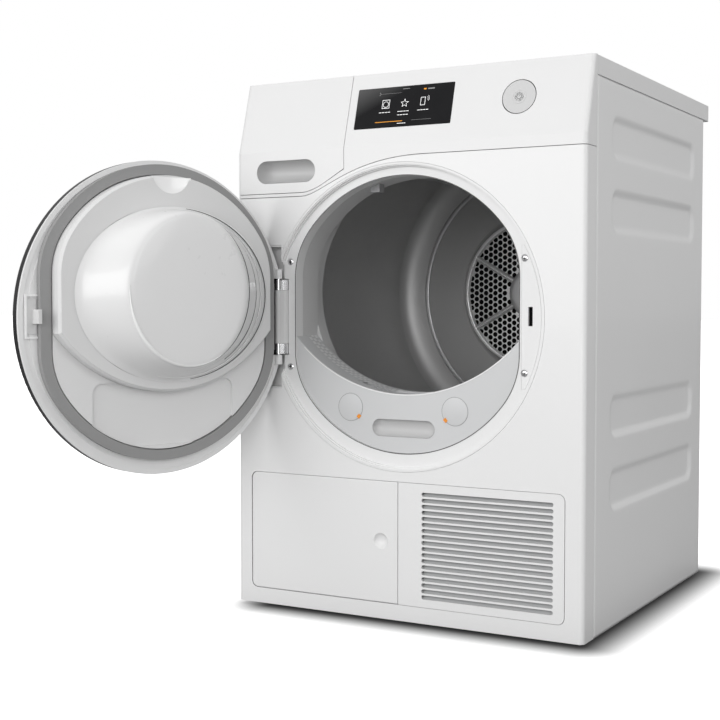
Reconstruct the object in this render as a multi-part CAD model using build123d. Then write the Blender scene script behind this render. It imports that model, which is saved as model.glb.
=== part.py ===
"""Free-standing heat-pump clothes dryer with its round door open.

All sizes are in millimetres. +Z is up, the front faces -Y, and the origin is the middle of the
footprint on the floor. The door, and all that is on it, is drawn shut and then swung open.
"""

import math
import os

from build123d import *

# Cabinet
WIDTH = 596
HALF = WIDTH / 2
FRONT_Y = -318
BACK_Y = 318
HEIGHT = 850
PANEL_FOOT_Z = 6
SHEET = 1.5
CORNER_R = 8
RETURN_Y = -275.3
SIDE_BACK_Y = 284
WORKTOP_Z = 822
GAP = 1.0

# Fascia
CREASE_Z = 736
SLOPE_BACK = 32
SEAM_Z = 718.5
SEAM_LOW_Z = 663
TANK_RIGHT_X = -97.8
TANK_BOTTOM_Z = 669.4
SKIN = 3
DISPLAY_X = (-84.5, 81.5)
DISPLAY_S = (27, 93.5)
BUTTON_X = 188
BUTTON_S = 60.8
BUTTON_R = 25.6

# Condensate tank drawer
TANK_SECTION = [(-286, 680), (-286, 813), (-108, 813), (-108, 795)]
TANK_Y = (-266, 168)
GRIP = (-260, -150, 685, 721)

# Door and the port that it closes
DOOR_Z = 472
DOOR_R = 234.3
DOOR_Y = -318.5
DOOR_FRAME_T = 4
DOOR_SHELL_T = 15
DOOR_OPEN = 109
HINGE_X = -220.1
HINGE_Y = -315.8
PIN_R = 3
PORT_Z = 476
PORT_R = 213
PORT_SIDE = 193
PORT_SOFT = 93
BEZEL_R = 236
BEZEL_FLOOR_Y = -308
BAY_FLOOR_Y = -298
BAY_X = (-246, -214)
BAY_H = 114
NOTCH_H = 61
KNUCKLE_Z = (-51, 51)
SEAL_Z = 480
PLATEAU = 29
PLATEAU_SIDE = 186
PLATEAU_R = 203
CROWN = 80
BOWL_BASE = (8, 507, 152, 127)
BOWL_CROWN = (0, 513, 102, 112)
SCREWS = [(201, 560), (201, 392), (-203, 560), (-203, 392)]

# Drum
DRUM_Z = 512
DRUM_R = 285
DRUM_FRONT_Y = -222
DRUM_REAR_Y = 190
DRUM_WALL = 1.2
NECK_R = 206
COLLAR_R = 203.5
SHIELD_Y = -240
PLATE_R = 138
PLATE_Y = 217
REAR_FLAT_Y = 240
SHAFT_R = 12

# Filter housing under the port
CRESCENT_Z = 612
CRESCENT_R = 257.6
HOUSING_FRONT_Y = -305
FILTER_X = 92

# Drive
MOTOR_X = 120
MOTOR_Z = 135
MOTOR_SHAFT_R = 8
PULLEY_R = 9
IDLER_X = 62
IDLER_Z = 168
IDLER_R = 16
ARM_X = 105
ARM_Z = 205
BELT_Y = -40
BELT_W = 8
BELT_T = 2
BELT_GAP = 0.3
FAN_R = 80
ROLLER_R = 22
ROLLER_GAP = 0.3

# Heat exchangers
FINS = 23
FIN_GAP = 6.6
EVAPORATOR_Y = (-232, -128)
CONDENSER_Y = (-108, 40)

# Lower front
FLAP = (-271.2, -2.6, 31.2, 220.2)
GRILLE = (-1.4, 268.6, 31.2, 220.2)
LOWER_R = 11
FLAP_T = 4
FLAP_AXIS_X = -257
FLAP_AXIS_Y = FRONT_Y + FLAP_T
FLAP_PIN_R = 1.5
LOUVRES = 18
LOUVRE_X = (38.5, 251.5)
LOUVRE_Z = (43.8, 207.2)
LOUVRE_H = 6.2

# Feet and tray
FOOT_X = 250
FOOT_Y = 240
STUD_R = 5
TRAY_Z = 14
TRAY_FLOOR_Z = 18

NODES = {}


def keep(name, *shapes):
    """Collect every solid of the shapes under one node's name."""
    solids = [s for shape in shapes for s in shape.solids()]
    NODES.setdefault(name, []).extend(solids)


def box(x0, x1, y0, y1, z0, z1):
    return Pos((x0 + x1) / 2, (y0 + y1) / 2, (z0 + z1) / 2) * Box(x1 - x0, y1 - y0, z1 - z0)


def rod_y(x, z, r, y0, y1):
    return Pos(x, (y0 + y1) / 2, z) * Rot(90, 0, 0) * Cylinder(r, y1 - y0)


def rod_z(x, y, r, z0, z1):
    return Pos(x, y, (z0 + z1) / 2) * Cylinder(r, z1 - z0)


def along_y(sketch, y0, y1):
    """A sketch in X and Z, drawn out from y0 to y1."""
    return extrude(Plane.XZ.offset(-y1) * sketch, amount=y1 - y0)


def along_x(sketch, x0, x1):
    """A sketch in Y and Z, drawn out from x0 to x1."""
    return extrude(Plane.YZ.offset(x0) * sketch, amount=x1 - x0)


def along_z(sketch, z0, z1):
    return extrude(Plane.XY.offset(z0) * sketch, amount=z1 - z0)


def disc(x, z, r):
    return Pos(x, z) * Circle(r)


def rect(x0, x1, z0, z1, r=0):
    size = (x1 - x0, z1 - z0)
    shape = RectangleRounded(*size, r) if r else Rectangle(*size)
    return Pos((x0 + x1) / 2, (z0 + z1) / 2) * shape


def polygon(*points):
    return make_face(Polyline(*points, close=True))


def port(r, side, z=PORT_Z):
    """A circle with straight left and right sides, joined by smooth arcs of a smaller radius."""
    soft = r - PORT_SOFT
    inner = side - soft
    rise = math.sqrt(PORT_SOFT ** 2 - inner ** 2)
    turn = math.atan2(rise, inner)
    half = turn / 2
    knee_x = inner + soft * math.cos(half)
    knee_z = rise + soft * math.sin(half)
    meet_x = r * math.cos(turn)
    meet_z = r * math.sin(turn)
    edges = []
    for s in (1, -1):
        edges.append(Line((s * side, -rise), (s * side, rise)))
        edges.append(ThreePointArc((meet_x, s * meet_z), (0, s * r), (-meet_x, s * meet_z)))
        for t in (1, -1):
            knee = (s * knee_x, t * knee_z)
            edges.append(ThreePointArc((s * side, t * rise), knee, (s * meet_x, t * meet_z)))
    return Pos(0, z) * make_face(Curve() + edges)


def turned(points, z=DRUM_Z):
    """A closed outline of (radius, y) points turned about the drum's axis."""
    outline = polygon(*[(r, y) for r, y in points])
    return Pos(0, 0, z) * revolve(outline, Axis.Y)


def front_outline(z_top_right, z_top_left, bulge_right, bulge_left):
    """The lower edge line of the fascia: level, an S bend, and level again lower down."""
    bend = Bezier((39, z_top_right), (bulge_right, z_top_right), (bulge_left, z_top_left), (-176, z_top_left))
    right = Line((HALF + 2, z_top_right), (39, z_top_right))
    left = Line((-176, z_top_left), (-HALF - 2, z_top_left))
    return [right, bend, left]


def panel_region():
    """What the front panel covers, seen from the front."""
    edges = front_outline(SEAM_Z - GAP / 2, SEAM_LOW_Z - GAP / 2, -90, -138)
    edges.append(Line((-HALF - 2, SEAM_LOW_Z - GAP / 2), (-HALF - 2, PANEL_FOOT_Z)))
    edges.append(Line((-HALF - 2, PANEL_FOOT_Z), (HALF + 2, PANEL_FOOT_Z)))
    edges.append(Line((HALF + 2, PANEL_FOOT_Z), (HALF + 2, SEAM_Z - GAP / 2)))
    return make_face(Curve() + edges)


def tank_region(grow=0):
    """What the tank drawer's front covers, seen from the front."""
    right = TANK_RIGHT_X - GAP / 2 + grow
    low = TANK_BOTTOM_Z - grow
    edges = [
        Line((-HALF - 2, low), (-176, low)),
        Bezier((-176, low), (-150, low), (-124, low + 20), (right, 703 - grow)),
        Line((right, 703 - grow), (right, HEIGHT + 2)),
        Line((right, HEIGHT + 2), (-HALF - 2, HEIGHT + 2)),
        Line((-HALF - 2, HEIGHT + 2), (-HALF - 2, low)),
    ]
    return make_face(Curve() + edges)


def fascia_region():
    edges = front_outline(SEAM_Z + GAP / 2, SEAM_LOW_Z + GAP / 2, -90, -138)
    edges.append(Line((-HALF - 2, SEAM_LOW_Z + GAP / 2), (-HALF - 2, HEIGHT + 2)))
    edges.append(Line((-HALF - 2, HEIGHT + 2), (HALF + 2, HEIGHT + 2)))
    edges.append(Line((HALF + 2, HEIGHT + 2), (HALF + 2, SEAM_Z + GAP / 2)))
    return make_face(Curve() + edges) - tank_region(GAP)


def slope_plane(depth=0):
    """The plane of the fascia's tilted face, sunk by depth: local X is X, local Y runs up the slope."""
    normal = Vector(0, CREASE_Z - HEIGHT, SLOPE_BACK).normalized()
    origin = Vector(0, FRONT_Y, CREASE_Z) - normal * depth
    return Plane(origin=origin, x_dir=(1, 0, 0), z_dir=normal)


def head_shell():
    """The hollow top of the front: upright below the crease, tilted above it, open at the back."""

    def block(t, back):
        lean = SLOPE_BACK / (HEIGHT - CREASE_Z)
        stretch = math.hypot(1, lean)
        crease = (FRONT_Y + t, CREASE_Z - t * (stretch - 1) / lean)
        top = (FRONT_Y + t * stretch + lean * (HEIGHT - t - CREASE_Z), HEIGHT - t)
        side = polygon((FRONT_Y + t, 640), crease, top, (back, HEIGHT - t), (back, 640))
        solid = along_x(side, -HALF + t, HALF - t)
        side_edges = solid.edges().filter_by(Plane.YZ)
        front_edges = side_edges.filter_by(lambda e: e.center().Y < FRONT_Y + SLOPE_BACK / 2 + 1 + t)
        return fillet(front_edges, CORNER_R - t)

    return block(0, RETURN_Y) - block(SKIN, RETURN_Y + 1)


def make_fascia(shell):
    """Control fascia, its glass and its lower strip under the tank drawer."""
    body = shell & along_y(fascia_region(), FRONT_Y - 1, RETURN_Y + 2)
    middle_x = (DISPLAY_X[0] + DISPLAY_X[1]) / 2
    middle_s = (DISPLAY_S[0] + DISPLAY_S[1]) / 2
    wide = DISPLAY_X[1] - DISPLAY_X[0]
    tall = DISPLAY_S[1] - DISPLAY_S[0]
    sunk = slope_plane(1.6)
    pocket = extrude(sunk * Pos(middle_x, middle_s) * RectangleRounded(wide, tall, 2), amount=3)
    hole = extrude(slope_plane(6) * Pos(BUTTON_X, BUTTON_S) * Circle(BUTTON_R + 1.4), amount=8)
    body -= pocket
    body -= hole
    plan = Pos(middle_x, middle_s) * RectangleRounded(wide - 0.6, tall - 0.6, 1.7)
    glass = extrude(sunk * plan, amount=1.7)
    keep("fascia", body)
    keep("display_glass", glass)


def make_button():
    """Round power button with a raised ring, and the switch boss behind it."""
    cap = extrude(slope_plane(5) * Pos(BUTTON_X, BUTTON_S) * Circle(BUTTON_R), amount=5)
    ring = extrude(slope_plane(0) * Pos(BUTTON_X, BUTTON_S) * (Circle(11) - Circle(9.6)), amount=0.3)
    stem = extrude(slope_plane(9) * Pos(BUTTON_X, BUTTON_S) * Circle(7), amount=4)
    keep("power_button", cap + ring + stem)


def stadium(x0, x1, z0, z1, grow=0):
    return rect(x0 - grow, x1 + grow, z0 - grow, z1 + grow, (z1 - z0) / 2 + grow - 0.01)


def section(grow):
    """The tank's cross-section in X and Z, grown all round."""
    return offset(polygon(*TANK_SECTION), grow, kind=Kind.INTERSECTION) if grow else polygon(*TANK_SECTION)


def make_tank(shell):
    """Condensate tank drawer: its front with the hand grip, and the tank over the drum's shoulder."""
    front = shell & along_y(tank_region(), FRONT_Y - 1, RETURN_Y + 2)
    front -= along_y(stadium(*GRIP), FRONT_Y - 1, FRONT_Y + SKIN + 1)
    cup = along_y(stadium(*GRIP, grow=2.5), FRONT_Y + SKIN, FRONT_Y + 34)
    cup -= along_y(stadium(*GRIP), FRONT_Y + SKIN, FRONT_Y + 31)
    web = box(-262, -245, FRONT_Y + 34, TANK_Y[0], 712, 722)
    keep("tank_front", front + cup + web)
    body = along_y(section(0), *TANK_Y) - along_y(section(-2.5), TANK_Y[0] + 2.5, TANK_Y[1] - 2.5)
    body -= box(-230, -170, TANK_Y[1] - 60, TANK_Y[1] - 20, 805, 815)
    keep("water_tank", body)
    channel = along_y(section(4), TANK_Y[0] - 3, TANK_Y[1] + 8)
    channel -= along_y(section(2), TANK_Y[0] - 4, TANK_Y[1] + 6)
    keep("tank_housing", channel - box(-300, -100, TANK_Y[0] - 5, TANK_Y[1] + 1, 806, 820))


def make_worktop():
    top = box(-HALF, HALF, RETURN_Y + 0.6, BACK_Y, WORKTOP_Z, HEIGHT)
    top = fillet(top.edges().filter_by(Axis.Z).sort_by(Axis.Y)[-2:], 6)
    rim = top.faces().sort_by(Axis.Z)[-1].edges()
    top = fillet(rim.filter_by(lambda e: e.center().Y > RETURN_Y + 5), 1.5)
    keep("worktop", top)


def make_side_panels():
    """Folded sheet sides with four long beads pressed inwards."""
    skin = box(HALF - SHEET, HALF, RETURN_Y + 0.6, SIDE_BACK_Y, PANEL_FOOT_Z, WORKTOP_Z - 0.5)
    front_fold = box(HALF - 10, HALF, RETURN_Y + 0.6, RETURN_Y + 0.6 + SHEET, PANEL_FOOT_Z, WORKTOP_Z - 0.5)
    back_fold = box(HALF - 14, HALF, SIDE_BACK_Y - 3, SIDE_BACK_Y - 1.5, PANEL_FOOT_Z, WORKTOP_Z - 0.5)
    top_fold = box(HALF - 14, HALF, RETURN_Y + 1, SIDE_BACK_Y - 2, WORKTOP_Z - 2, WORKTOP_Z - 0.5)
    panel = skin + front_fold + back_fold + top_fold
    for z in (214, 325, 631, 740):
        panel += along_x(rect(-209.5, 226.5, z - 32.5, z + 32.5, 25), HALF - SHEET - 2.5, HALF)
        panel -= along_x(rect(-208, 225, z - 31, z + 31, 23.5), HALF - 2.5, HALF + 1)
    keep("side_panel_right", panel)
    keep("side_panel_left", mirror(panel, Plane.YZ))


def make_rear():
    """Back sheet with the air openings to the drum and the pressed duct cover over them."""
    edge = HALF - SHEET - 0.1
    sheet = box(-edge, edge, SIDE_BACK_Y - 1.5, SIDE_BACK_Y, TRAY_Z, WORKTOP_Z - 0.5)
    ring = disc(0, DRUM_Z, 140) - disc(0, DRUM_Z, 62)
    for angle in (45, 135):
        ring -= Pos(0, DRUM_Z) * Rot(0, 0, angle) * Rectangle(300, 34)
    sheet -= along_y(ring, SIDE_BACK_Y - 3, SIDE_BACK_Y + 1)
    sheet -= rod_y(MOTOR_X, MOTOR_Z, 70, SIDE_BACK_Y - 3, SIDE_BACK_Y + 1)
    sheet -= rod_y(-230, 110, 7.2, SIDE_BACK_Y - 3, SIDE_BACK_Y + 1)
    sheet -= rod_y(250, 300, 9.2, SIDE_BACK_Y - 3, SIDE_BACK_Y + 1)
    keep("rear_panel", sheet)
    plan = disc(0, DRUM_Z, 168) + rect(36, 204, 50, 520, 20)
    hollow = disc(0, DRUM_Z, 166) + rect(38, 202, 52, 518, 18)
    flange = disc(0, DRUM_Z, 178) + rect(26, 214, 40, 530, 24)
    cover = along_y(plan, SIDE_BACK_Y, SIDE_BACK_Y + 28) - along_y(hollow, SIDE_BACK_Y, SIDE_BACK_Y + 26)
    cover += along_y(flange - hollow, SIDE_BACK_Y, SIDE_BACK_Y + 2)
    keep("rear_duct_cover", cover)


def make_front_panel():
    """Folded front sheet with the port and the lower frame cut out."""
    outer = rect(-HALF, HALF, FRONT_Y, RETURN_Y)
    body = along_z(outer, PANEL_FOOT_Z, 730)
    body = fillet(body.edges().filter_by(Axis.Z).sort_by(Axis.Y)[:2], CORNER_R)
    inside = box(-HALF + 2, HALF - 2, FRONT_Y + 2, RETURN_Y + 1, 0, 740)
    body -= fillet(inside.edges().filter_by(Axis.Z).sort_by(Axis.Y)[:2], CORNER_R - 2)
    body &= along_y(panel_region(), FRONT_Y - 1, RETURN_Y + 1)
    opening = disc(0, DOOR_Z, BEZEL_R + 0.4) + bay_rect(0.4)
    body -= along_y(opening, FRONT_Y - 1, FRONT_Y + 3)
    lower = rect(FLAP[0] - 1, GRILLE[1] + 1, FLAP[2] - 0.6, FLAP[3] + 0.6, LOWER_R)
    body -= along_y(lower, FRONT_Y - 1, FRONT_Y + 3)
    keep("front_panel", body)


def bay_rect(grow=0):
    """The hinge bay at the port's left side, seen from the front."""
    return rect(BAY_X[0] - grow, BAY_X[1] + grow, DOOR_Z - BAY_H - grow, DOOR_Z + BAY_H + grow)


def make_bezel():
    """Stepped port ring with the hinge bay on the left and the lock plate's seat on the right."""
    ring = rod_y(0, DOOR_Z, BEZEL_R, FRONT_Y, BEZEL_FLOOR_Y + 4)
    for r, y in ((233, -316.5), (231.5, -312.5), (230, BEZEL_FLOOR_Y)):
        ring -= rod_y(0, DOOR_Z, r, FRONT_Y - 1, y)
    ring += along_y(bay_rect(), FRONT_Y, BAY_FLOOR_Y + 2.5)
    ring += box(-215, -204, BEZEL_FLOOR_Y, BAY_FLOOR_Y + 2.5, DOOR_Z - NOTCH_H - 2, DOOR_Z + NOTCH_H + 2)
    ring += along_y(port(PORT_R + 3, PORT_SIDE + 3), BEZEL_FLOOR_Y, -286)
    ring -= along_y(port(PORT_R, PORT_SIDE), FRONT_Y - 1, -285)
    bay = rect(BAY_X[0] + 2, BAY_X[1], DOOR_Z - BAY_H + 2, DOOR_Z + BAY_H - 2)
    ring -= along_y(bay, FRONT_Y - 1, BAY_FLOOR_Y)
    window = rect(-215, -206, DOOR_Z - NOTCH_H, DOOR_Z + NOTCH_H)
    ring -= along_y(window, FRONT_Y - 1, BAY_FLOOR_Y)
    for dz in KNUCKLE_Z:
        ring -= box(-214.2, -206, BAY_FLOOR_Y - 1, BAY_FLOOR_Y + 3, DOOR_Z + dz - 8.3, DOOR_Z + dz + 8.3)
    ring -= along_y(lock_plan(0.3), BEZEL_FLOOR_Y - 1, BEZEL_FLOOR_Y + 1.5)
    ring -= box(206.8, 213.7, BEZEL_FLOOR_Y - 1, BEZEL_FLOOR_Y + 6, DOOR_Z + 3 - 14, DOOR_Z + 3 + 14)
    for x, z in SCREWS:
        ring -= rod_y(x, z, 2.3, BEZEL_FLOOR_Y - 1, BEZEL_FLOOR_Y + 6)
        ring -= rod_y(x, z, 5.5, BEZEL_FLOOR_Y - 1, BEZEL_FLOOR_Y + 1.5)
    keep("port_bezel", ring)


def lock_plan(grow=0):
    """The lock plate follows the ring's curve outside and the port's straight side inside."""
    band = rect(PORT_SIDE + 3.5 - grow, 230, DOOR_Z - 103 - grow, DOOR_Z + 107 + grow)
    return band & disc(0, DOOR_Z, 227 + grow)


def make_lock():
    """Lock plate with its slot, the lock's case behind it and the four bright screws of the ring."""
    plate = along_y(lock_plan(), BEZEL_FLOOR_Y, BEZEL_FLOOR_Y + 1.5)
    plate -= box(206.8, 213.7, BEZEL_FLOOR_Y - 1, BEZEL_FLOOR_Y + 3, DOOR_Z + 3 - 14, DOOR_Z + 3 + 14)
    screws = []
    for x, z in SCREWS:
        plate -= rod_y(x, z, 5.5, BEZEL_FLOOR_Y - 1, BEZEL_FLOOR_Y + 3)
        head = rod_y(x, z, 5.2, BEZEL_FLOOR_Y, BEZEL_FLOOR_Y + 1.5)
        head -= box(x - 3.4, x + 3.4, BEZEL_FLOOR_Y - 1, BEZEL_FLOOR_Y + 0.8, z - 0.6, z + 0.6)
        head -= box(x - 0.6, x + 0.6, BEZEL_FLOOR_Y - 1, BEZEL_FLOOR_Y + 0.8, z - 3.4, z + 3.4)
        screws.append(head + rod_y(x, z, 2, BEZEL_FLOOR_Y + 1.5, BEZEL_FLOOR_Y + 10))
    keep("lock_plate", plate)
    keep("ring_screws", *screws)
    case = box(204, 232, BEZEL_FLOOR_Y + 4.2, -272, DOOR_Z - 32, DOOR_Z + 38)
    case -= box(206, 214.5, BEZEL_FLOOR_Y, -284, DOOR_Z - 13, DOOR_Z + 19)
    keep("lock_module", case)


def hinge_profile():
    """An eye round the pin and a web back into the cabinet, seen from above."""
    outer = [(HINGE_X, -321.2), (-209, -317.4), (-206.6, -314)]
    inner = [(-206.6, -296), (-213.8, -296), (-213.8, -310)]
    return disc(HINGE_X, HINGE_Y, 6) + polygon(*outer, *inner)


def make_hinge():
    """Bright hinge arms on a plate behind the bay, with the cover between them."""
    plate = box(-244, -198, BAY_FLOOR_Y + 2.5, BAY_FLOOR_Y + 5, DOOR_Z - 80, DOOR_Z + 80)
    arms = []
    for dz in KNUCKLE_Z:
        arm = along_z(hinge_profile(), DOOR_Z + dz - 8, DOOR_Z + dz + 8)
        arm += box(-213.8, -206.6, -297, BAY_FLOOR_Y + 2.5, DOOR_Z + dz - 8, DOOR_Z + dz + 8)
        arms.append(arm)
    bore = rod_z(HINGE_X, HINGE_Y, PIN_R + 0.05, DOOR_Z - 70, DOOR_Z + 70)
    keep("hinge_bracket", plate + arms[0] + arms[1] - bore)
    low = DOOR_Z + KNUCKLE_Z[0] + 8.3
    high = DOOR_Z + KNUCKLE_Z[1] - 8.3
    cover = along_z(hinge_profile(), low, high)
    keep("hinge_cover", cover & box(-240, -200, -330, BAY_FLOOR_Y, low, high))


def make_grille():
    """Air grille: the right half of the lower front, with a column of slots."""
    plan = rect(*GRILLE, LOWER_R - 0.6) + rect(GRILLE[0], 150, GRILLE[2], GRILLE[3])
    grille = along_y(plan, FRONT_Y, FRONT_Y + 4)
    pitch = (LOUVRE_Z[1] - LOUVRE_Z[0] - LOUVRE_H) / (LOUVRES - 1)
    for i in range(LOUVRES):
        z = LOUVRE_Z[0] + pitch * i
        slot = rect(*LOUVRE_X, z, z + LOUVRE_H, LOUVRE_H / 2 - 0.01)
        grille -= along_y(slot, FRONT_Y - 1, FRONT_Y + 5)
    keep("air_grille", grille)


def make_flap():
    """Service flap with a finger dimple; it swings on two pins held by lugs behind it."""
    plan = rect(*FLAP, LOWER_R - 0.6) + rect(-150, FLAP[1], FLAP[2], FLAP[3])
    flap = along_y(plan, FRONT_Y, FRONT_Y + FLAP_T)
    front_edges = flap.faces().sort_by(Axis.Y)[0].edges()
    flap = fillet(front_edges.filter_by(lambda e: e.center().X < -262), 1.8)
    dimple = Pos(-32, FRONT_Y - 8.3, 126.7) * Sphere(15)
    backing = rod_y(-32, 126.7, 15.5, FRONT_Y + FLAP_T, FRONT_Y + 9.5)
    barrel = rod_z(FLAP_AXIS_X, FLAP_AXIS_Y, 3.9, 60, 190)
    flap = flap + backing + barrel - dimple
    flap -= rod_z(FLAP_AXIS_X, FLAP_AXIS_Y, FLAP_PIN_R + 0.05, 44, 206)
    lugs = rod_z(FLAP_AXIS_X, FLAP_AXIS_Y, FLAP_PIN_R, 44.5, 205.5)
    for z0, z1 in ((46, 59), (191, 204)):
        flap -= rod_z(FLAP_AXIS_X, FLAP_AXIS_Y, 2.95, z0 - 2, z1 + 2)
        neck = Rot(0, 0, 45) * box(0, 14, -1.7, 1.7, z0, z1)
        lugs += rod_z(FLAP_AXIS_X, FLAP_AXIS_Y, 2.6, z0, z1) + Pos(FLAP_AXIS_X, FLAP_AXIS_Y, 0) * neck
        lugs += box(FLAP_AXIS_X + 7, FLAP_AXIS_X + 12, FLAP_AXIS_Y + 8, -272.4, z0, z1)
    keep("service_flap", flap)
    keep("flap_hinge", lugs)


def make_plinth_filter():
    """Flat mesh filter in its frame, in front of the heat exchangers."""
    frame = box(-262, -66, -262, -247, 26, 198) - box(-250, -78, -263, -251, 38, 186)
    mesh = box(-250, -78, -258, -256, 38, 186)
    grips = [box(x, x + 26, -268, -262, 190, 196) for x in (-240, -114)]
    keep("plinth_filter", frame + mesh + grips[0] + grips[1])


def make_shield():
    """Front bearing shield: throat, collar for the drum's neck and the rollers' axles."""
    plate = rect(-286, 286, 215, 735, 20) - disc(0, DRUM_Z, COLLAR_R - 3.5) - section(8)
    plate -= rect(-300, -98, 655, 800)
    body = along_y(plate, SHIELD_Y, SHIELD_Y + 2.5)
    body += along_y(disc(0, DRUM_Z, COLLAR_R) - disc(0, DRUM_Z, COLLAR_R - 3.5), SHIELD_Y, -214)
    throat = along_y(port(PORT_R + 3, PORT_SIDE + 3) - port(PORT_R, PORT_SIDE), -285.5, SHIELD_Y)
    body += throat
    body += along_y(port(PORT_R, PORT_SIDE) - disc(0, CRESCENT_Z, CRESCENT_R + 6), SHIELD_Y, SHIELD_Y + 2.5)
    for side in (-1, 1):
        x, z = roller_place(side)
        body += rod_y(x, z, 5, SHIELD_Y + 2.5, -194)
        body += rod_y(x, z, 9, SHIELD_Y + 2.5, -219)
    keep("front_shield", body)


def roller_place(side):
    reach = DRUM_R + ROLLER_R + ROLLER_GAP
    return side * reach / 2, DRUM_Z - reach * math.sqrt(3) / 2


def make_rollers():
    """Drum support rollers: tyre and hub in one, running on the shield's axles."""
    for side, name in ((-1, "roller_left"), (1, "roller_right")):
        x, z = roller_place(side)
        wheel = rod_y(x, z, ROLLER_R, -218.5, -198)
        wheel -= rod_y(x, z, ROLLER_R - 5, -220, -215.5)
        wheel -= rod_y(x, z, ROLLER_R - 5, -201, -197)
        wheel += rod_y(x, z, 9, -218.5, -198)
        keep(name, wheel - rod_y(x, z, 5.05, -220, -190))


def make_filter_housing():
    """Crescent under the port with two round capped sockets, a grip and the lint filter's well."""
    crescent = port(PORT_R - 0.4, PORT_SIDE - 0.4) - disc(0, CRESCENT_Z, CRESCENT_R)
    body = along_y(crescent, HOUSING_FRONT_Y, SHIELD_Y)
    body -= box(-FILTER_X - 0.5, FILTER_X + 0.5, -285.5, -254.5, 300, 460)
    for x in (-90, 90):
        body -= rod_y(x, 331.3, 18.5, HOUSING_FRONT_Y - 1, HOUSING_FRONT_Y + 12)
    body -= along_y(rect(-54, 54, 288, 315, 13.4), HOUSING_FRONT_Y - 1, HOUSING_FRONT_Y + 12)
    keep("filter_housing", body)
    caps = []
    for x in (-90, 90):
        cap = rod_y(x, 331.3, 18, HOUSING_FRONT_Y + 5, HOUSING_FRONT_Y + 12)
        cap += along_y(rect(x - 14, x + 14, 328.3, 334.3, 2.5), HOUSING_FRONT_Y + 1, HOUSING_FRONT_Y + 5)
        caps.append(cap)
    keep("filter_housing", *caps)


def make_lint_filter():
    """Lint filter: curved inlet rim over a flat mesh pocket in the well."""
    frame = box(-FILTER_X, FILTER_X, -285, -255, 301, 460)
    frame -= rod_y(0, CRESCENT_Z, CRESCENT_R + 0.6, -290, -250)
    frame -= box(-FILTER_X + 4, FILTER_X - 4, -281, -259, 305, 460)
    rim = rod_y(0, CRESCENT_Z, CRESCENT_R + 9, -281, -259)
    rim -= rod_y(0, CRESCENT_Z, CRESCENT_R + 4, -290, -250)
    for i in range(6):
        x = -FILTER_X + 20 + i * (2 * FILTER_X - 40) / 5
        frame += box(x - 1.2, x + 1.2, -281, -259, 305, 460) & rim
    keep("lint_filter", frame)


def make_drum_light():
    lens = box(-73, -57, -277, -262, 668, 690) & rod_y(0, PORT_Z, PORT_R - 0.3, -280, -260)
    keep("drum_light", lens)


def make_drum():
    """Steel drum with its dished, perforated rear wall, three lifters and the shaft on its spider."""
    w = DRUM_WALL
    shell = turned([
        (NECK_R, -231), (NECK_R + w, -231), (NECK_R + w, -226),
        (DRUM_R - 14, DRUM_FRONT_Y), (DRUM_R, DRUM_FRONT_Y + 12),
        (DRUM_R, DRUM_REAR_Y), (DRUM_R - w, DRUM_REAR_Y), (DRUM_R - w, DRUM_FRONT_Y + 12.5),
        (DRUM_R - 14.5, DRUM_FRONT_Y + w), (NECK_R, -226 + w),
    ])
    keep("drum_shell", shell)
    rear = turned([
        (DRUM_R, DRUM_REAR_Y), (236, REAR_FLAT_Y), (150, REAR_FLAT_Y), (PLATE_R, PLATE_Y + w),
        (0, PLATE_Y + w), (0, PLATE_Y), (PLATE_R + 1, PLATE_Y), (151, REAR_FLAT_Y - w),
        (235.5, REAR_FLAT_Y - w), (DRUM_R - w, DRUM_REAR_Y),
    ])
    rear += rod_y(0, DRUM_Z, 48, PLATE_Y - 5, PLATE_Y)
    for k in range(6):
        spoke = box(46, PLATE_R - 6, PLATE_Y - 3, PLATE_Y, -4.5, 4.5)
        rear += Pos(0, 0, DRUM_Z) * Rot(0, 60 * k + 30, 0) * spoke
    keep("drum_rear", rear)
    lifters = []
    for k in range(3):
        outline = polygon((-26, 0), (26, 0), (9, 46), (-9, 46))
        bar = extrude(Plane.XZ.offset(-DRUM_REAR_Y + 30) * outline, amount=DRUM_REAR_Y - DRUM_FRONT_Y - 70)
        bar = Pos(0, 0, -DRUM_R + w + 1.4) * bar
        bar &= rod_y(0, 0, DRUM_R - w - 0.05, -250, 250)
        lifters.append(Pos(0, 0, DRUM_Z) * Rot(0, 120 * k - 90, 0) * bar)
    keep("drum_lifters", *lifters)
    hub = rod_y(0, DRUM_Z, 30, REAR_FLAT_Y, 256) + rod_y(0, DRUM_Z, SHAFT_R, 256, 281)
    for k in range(3):
        arm = box(20, 225, REAR_FLAT_Y, REAR_FLAT_Y + 5, -14, 14)
        hub += Pos(0, 0, DRUM_Z) * Rot(0, 120 * k - 90, 0) * arm
    keep("drum_shaft", hub)


def make_bearing_and_felts():
    holder = rod_y(0, DRUM_Z, 56, 276, SIDE_BACK_Y - 1.5) + rod_y(0, DRUM_Z, 24, 261, 276)
    keep("rear_bearing", holder - rod_y(0, DRUM_Z, SHAFT_R + 0.05, 255, 283))
    felt = rod_y(0, DRUM_Z, NECK_R - 0.4, -231, -216) - rod_y(0, DRUM_Z, COLLAR_R, -232, -215)
    rear_felt = rod_y(0, DRUM_Z, 232, 262, SIDE_BACK_Y - 1.5) - rod_y(0, DRUM_Z, 216, 261, 283)
    keep("drum_felts", felt, rear_felt)


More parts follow.
